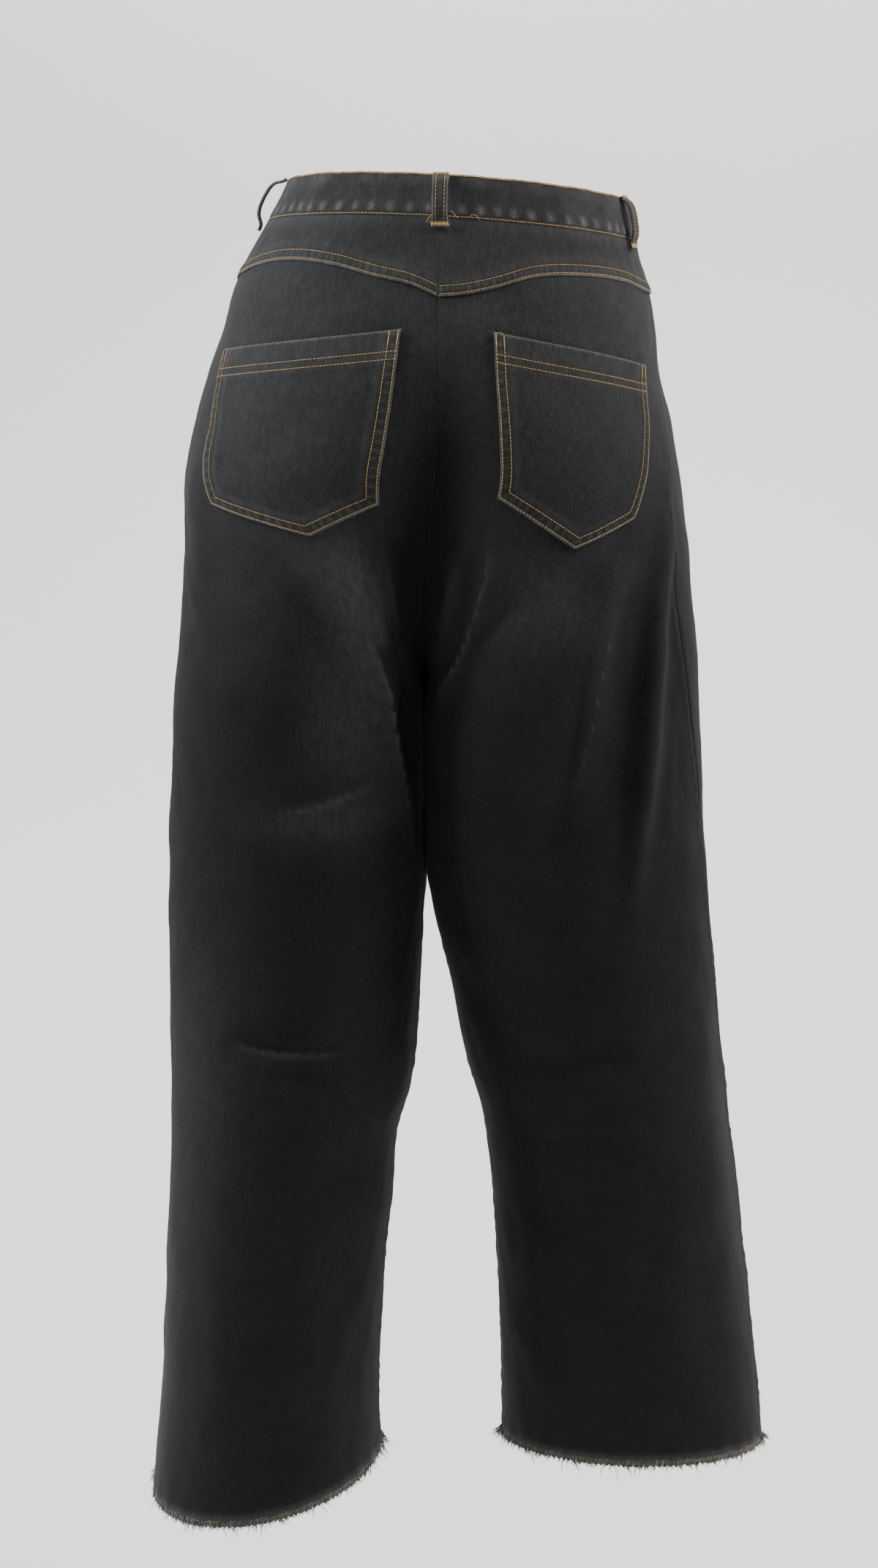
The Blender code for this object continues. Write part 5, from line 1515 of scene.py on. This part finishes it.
class Fringe:
    """The points, faces, places on the cloth and shades that a hem's yarns are gathered in."""

    def __init__(self, side):
        self.side = side
        self.draw = np.random.default_rng(40 + side)
        self.points, self.faces, self.uv, self.worn = [], [], [], []

    def shade(self, middle, spread, low, lock=0.0):
        return float(np.clip(self.draw.normal(middle, spread) + lock, low, 1.0))

    def yarn(self, path, radius, shade):
        """Adds one thin round yarn with pointed end along a path."""
        along = unit(np.gradient(path, axis=0))
        side_way = unit(np.cross(along, (0.31, 0.22, 0.93)))
        other = np.cross(along, side_way)
        start = len(self.points)
        for k in range(len(path)):
            size = radius * (1.0 if k < len(path) - 1 else 0.35)
            for s in range(YARN_SIDES):
                angle = 2 * math.pi * s / YARN_SIDES
                around = math.cos(angle) * side_way[k] + math.sin(angle) * other[k]
                self.points.append(path[k] + size * around)
                self.uv.append((s * 0.0004 + shade, k * 0.001))
                self.worn.append(shade)
        for k in range(len(path) - 1):
            for s in range(YARN_SIDES):
                a = start + k * YARN_SIDES + s
                b = start + k * YARN_SIDES + (s + 1) % YARN_SIDES
                self.faces.append((a, b, b + YARN_SIDES, a + YARN_SIDES))
        last = start + (len(path) - 1) * YARN_SIDES
        self.faces.append(tuple(start + s for s in range(YARN_SIDES))[::-1])
        self.faces.append(tuple(last + s for s in range(YARN_SIDES)))

    def hanging_yarns(self):
        """A dense short fringe in locks, with some longer ends."""
        side, draw = self.side, self.draw
        count = int((LEG_ROUND + 0.01) / YARN_STEP)
        turns = (np.arange(count) + draw.uniform(-0.4, 0.4, count)) / count % 1.0
        hem = hem_height(side, turns) + 0.0006
        roots, _ = on_cloth(side, turns, hem)
        normals = plain_normal(side, turns, hem)
        before, _ = on_cloth(side, np.clip(turns - 0.002, 0, 1), hem)
        after, _ = on_cloth(side, np.clip(turns + 0.002, 0, 1), hem)
        round_way = unit(after - before)
        for k in range(count):
            if k % LOCK_YARNS == 0:
                lock_lean, lock_shade = draw.normal(0, 0.22), draw.normal(0, 0.22)
                lock_length = draw.uniform()
            near = min(abs(turns[k] - seam) for seam in (0.0, 0.495, 1.0))
            tuft = math.exp(-((near / 0.012) ** 2))
            layer = draw.uniform(0.0001, 0.0014)
            length = FRAY_STRIP + 0.0008 + 0.0018 * lock_length + 0.0034 * draw.uniform() ** 2.4
            length += 0.0060 * tuft * draw.uniform()
            if draw.uniform() < 0.035:
                length += draw.uniform(0.003, 0.008)
            lean = draw.normal(0, 0.16) + lock_lean + 0.25 * math.sin(turns[k] * 90)
            curl = draw.normal(0.05, 0.20) + 0.25 * tuft * draw.normal()
            root = roots[k] - normals[k] * layer
            path = [root]
            for share in (0.30, 0.62, 1.0):
                drop = length * share
                sway = round_way[k] * (lean * drop * share + 0.0004 * draw.normal())
                sway = sway + normals[k] * (curl * drop * share + 0.0003 * draw.normal())
                path.append(root + sway + np.array((0, 0, -drop)))
            shade = self.shade(0.55, 0.16, 0.03, lock_shade)
            self.yarn(np.array(path), draw.uniform(0.00024, 0.00040), shade)

    def crossing_yarns(self):
        """The weft yarns that still run round the hem, broken here and there."""
        weft = np.linspace(0, 1, 190)
        for row, drop in enumerate((0.0008, 0.0017, 0.0026, 0.0034)):
            for start in range(0, len(weft) - 1, 9):
                part = weft[start:start + 11]
                if len(part) < 4 or self.draw.uniform() < 0.06 * row:
                    continue
                level = hem_height(self.side, part) - drop + 0.0005 * np.sin(part * 700 + row)
                path, _ = on_cloth(self.side, part, level, -0.0002 - 0.0005 * self.draw.uniform())
                self.yarn(path, 0.00030, self.shade(0.62, 0.15, 0.1))

    def tufts(self):
        """Tangled ends at the seams."""
        side, draw = self.side, self.draw
        for turn_at, tuft_size in TUFTS[side]:
            for _ in range(TUFT_YARNS):
                t = float(np.clip(turn_at + draw.normal(0, 0.008), 0, 1))
                level = float(hem_height(side, np.array(t))) + 0.0010
                root, _ = on_cloth(side, np.array([t]), np.array([level]))
                out = plain_normal(side, np.array([t]), np.array([level]))[0]
                way = np.array((draw.normal(0, 0.35), draw.normal(0, 0.35), -1.0))
                way = way + out * draw.uniform(0.0, 0.9)
                way = way / np.linalg.norm(way)
                size = tuft_size * draw.uniform(0.005, 0.0135)
                twist = draw.normal(0, 0.35, 3)
                path = [root[0] - out * 0.0006 + way * size * s + twist * size * s * s * 0.5
                        for s in (0.0, 0.35, 0.7, 1.0)]
                self.yarn(np.array(path), draw.uniform(0.00018, 0.00026), self.shade(0.5, 0.25, 0.05))

    def strip(self):
        """The thin ring of parted cloth that the yarns hang from, closed at both edges."""
        side = self.side
        rows = np.linspace(0, FRAY_STRIP, 5)
        ring = np.linspace(0, 1, 400)[:-1]
        first = len(self.points)
        for depth in (0.0003, CLOTH - 0.0003):
            for i, drop in enumerate(rows):
                ragged = 0.0011 * np.sin(ring * 900) * (i == len(rows) - 1)
                here, _ = on_cloth(side, ring, hem_height(side, ring) - drop + ragged, -depth)
                self.points.extend(here)
                self.uv.extend(np.stack([side * ring * LEG_ROUND, -drop + 0 * ring], 1))
                self.worn.extend(0.20 + 0.18 * np.sin(ring * 1500 + i) * np.sin(ring * 377))
        number = len(ring)
        for wall in range(2):
            base = first + wall * len(rows) * number
            for i in range(len(rows) - 1):
                for j in range(number):
                    a, b = base + i * number + j, base + i * number + (j + 1) % number
                    c, d = b + number, a + number
                    quad = (a, b, c, d) if (wall == 0) == (side == LEFT) else (d, c, b, a)
                    self.faces.append(quad[::-1])
        for i in (0, len(rows) - 1):
            for j in range(number):
                a = first + i * number + j
                b = first + i * number + (j + 1) % number
                c, d = b + len(rows) * number, a + len(rows) * number
                quad = (a, b, c, d) if (i == 0) == (side == LEFT) else (d, c, b, a)
                self.faces.append(quad)


def frayed_hem(side):
    """Loose yarns below a hem, and the strip they hang from."""
    name = "fringe_" + SIDE_NAMES[side]
    fringe = Fringe(side)
    fringe.hanging_yarns()
    fringe.crossing_yarns()
    fringe.tufts()
    fringe.strip()
    mesh = bpy.data.meshes.new(name + "_yarns")
    mesh.from_pydata([tuple(p) for p in fringe.points], [], fringe.faces)
    piece = finish_piece(mesh, name + "_yarns", np.array(fringe.uv), np.array(fringe.worn), (FRAY,))
    return dress(piece, [name])


def waist_button():
    """The tack button: a plain domed cap with a raised rim on a short shank."""
    empty_selection()
    bpy.ops.mesh.primitive_cylinder_add(vertices=48, radius=0.0045, depth=0.0012, location=(0, 0, 0.0006))
    button = bpy.context.active_object
    bpy.ops.object.mode_set(mode="EDIT")
    bpy.ops.mesh.select_mode(type="FACE")
    bpy.ops.mesh.select_all(action="DESELECT")
    bpy.ops.object.mode_set(mode="OBJECT")
    for face in button.data.polygons:
        face.select = face.normal.z > 0.9
    bpy.ops.object.mode_set(mode="EDIT")
    steps = ((0.0002, 0.0080), (0.0006, 0.0085), (0.0009, 0.0086), (0.0006, 0.0083), (0.0001, 0.0078),
             (-0.0003, 0.0070), (-0.0001, 0.0060), (0.0004, 0.0045), (0.0002, 0.0025), (0.0001, 0.0010))
    now = 0.0045
    for rise, radius in steps:
        bpy.ops.mesh.extrude_region_move(TRANSFORM_OT_translate={"value": (0, 0, rise)})
        bpy.ops.transform.resize(value=(radius / now, radius / now, 1.0))
        now = radius
    bpy.ops.object.mode_set(mode="OBJECT")
    button.name = "tack_button"
    button.data.name = "tack_button"
    button.data.materials.append(METAL)
    button.data.shade_smooth()
    seat, _ = both_sides(np.array([0.0]), np.array([BAND_HEIGHT / 2]),
                         np.array([BAND_PROUD + BAND_LIFT + 0.0003]))
    height = np.array([float(band_edge(LEFT, np.array(0.0))) + BAND_HEIGHT / 2])
    normal = plain_normal(LEFT, np.array([0.001]), height)[0]
    turn = Vector((0.0, 0.0, 1.0)).rotation_difference(Vector(normal)).to_matrix().to_4x4()
    turn.translation = Vector(seat[0])
    button.data.transform(turn)
    button.location = (0, 0, 0)
    return dress(button, ["waist_button"])


def build_garment():
    """Every piece of the jeans, by name."""
    made = {}
    for side in SIDE_NAMES:
        for rear in (True, False):
            piece = leg_panel(side, rear)
            made[piece.name] = piece
        for piece in (yoke(side), back_pocket(side), frayed_hem(side), yoke_threads(side),
                      pocket_threads(side)):
            made[piece.name] = piece
    for name, place, stand_off in LOOPS:
        piece = belt_loop(name, place, stand_off)
        made[piece.name] = piece
    for piece in (waistband(), fly_shield(), band_threads(), loop_threads(), fly_threads(),
                  stray_threads(), waist_button()):
        made[piece.name] = piece
    return made


def backdrop():
    """A pale floor that curves up into a wall."""
    floor_height, floor_end = -1.24, 5.0
    wall, wall_top, half_width = -4.40, 4.2, 6.0
    radius = 1.2
    bend = np.linspace(0, math.pi / 2, 25)
    profile = [(floor_end, floor_height)]
    profile += [(wall + radius * (1 - math.sin(a)), floor_height + radius * (1 - math.cos(a))) for a in bend]
    profile += [(wall, wall_top)]
    points = [(x, y, z) for x in (-half_width, half_width) for y, z in profile]
    count = len(profile)
    faces = [(i, i + 1, i + 1 + count, i + count) for i in range(count - 1)]
    mesh = bpy.data.meshes.new("backdrop")
    mesh.from_pydata(points, [], faces)
    mesh.shade_smooth()
    mesh.materials.append(stage_material("pale_paper", (0.86, 0.855, 0.845), 0.95))
    cloth = bpy.data.objects.new("backdrop", mesh)
    bpy.context.scene.collection.objects.link(cloth)


# Area lights: name, place, what it points at, width, height, power, colour
LIGHTS = (
    ("window_left", (1.9, 0.42, 1.05), (0.0, 0.0, -0.05), 0.8, 1.2, 92.0, (0.94, 0.97, 1.0)),
    ("soft_right", (-1.9, 0.32, 1.10), (0.0, 0.0, -0.02), 0.8, 1.1, 73.0, (1.0, 0.985, 0.96)),
    ("over_camera", (-0.2, 1.6, 2.3), (0.0, 0.0, 0.0), 1.2, 0.7, 14.0, (1.0, 0.99, 0.97)),
    ("wall_wash", (0.0, -2.7, 3.2), (0.0, -4.4, -0.6), 5.0, 0.8, 330.0, (1.0, 1.0, 1.0)),
)


def lights_and_camera():
    for name, place, target, width, height, power, colour in LIGHTS:
        light = bpy.data.lights.new(name, "AREA")
        light.shape = "RECTANGLE"
        light.size, light.size_y = width, height
        light.energy = power
        light.color = colour
        lamp = bpy.data.objects.new(name, light)
        lamp.location = place
        aim = Vector(target) - Vector(place)
        lamp.rotation_euler = aim.to_track_quat("-Z", "Y").to_euler()
        bpy.context.scene.collection.objects.link(lamp)
    world = bpy.data.worlds.new("studio")
    world.use_nodes = True
    world.node_tree.nodes["Background"].inputs["Color"].default_value = WORLD_COLOUR
    world.node_tree.nodes["Background"].inputs["Strength"].default_value = WORLD_STRENGTH
    bpy.context.scene.world = world

    camera = bpy.data.objects.new("camera", bpy.data.cameras.new("camera"))
    camera.data.lens = CAMERA_LENS
    camera.data.sensor_width = SENSOR_WIDTH
    camera.location = (CAMERA_SIDE - CAMERA_DISTANCE * math.sin(CAMERA_TURN),
                       CAMERA_DISTANCE * math.cos(CAMERA_TURN), CAMERA_HEIGHT)
    look = Vector((math.sin(CAMERA_TURN) * math.cos(CAMERA_DROP),
                   -math.cos(CAMERA_TURN) * math.cos(CAMERA_DROP), -math.sin(CAMERA_DROP)))
    camera.rotation_euler = look.to_track_quat("-Z", "Y").to_euler()
    bpy.context.scene.collection.objects.link(camera)
    bpy.context.scene.camera = camera


garment = build_garment()
backdrop()
lights_and_camera()
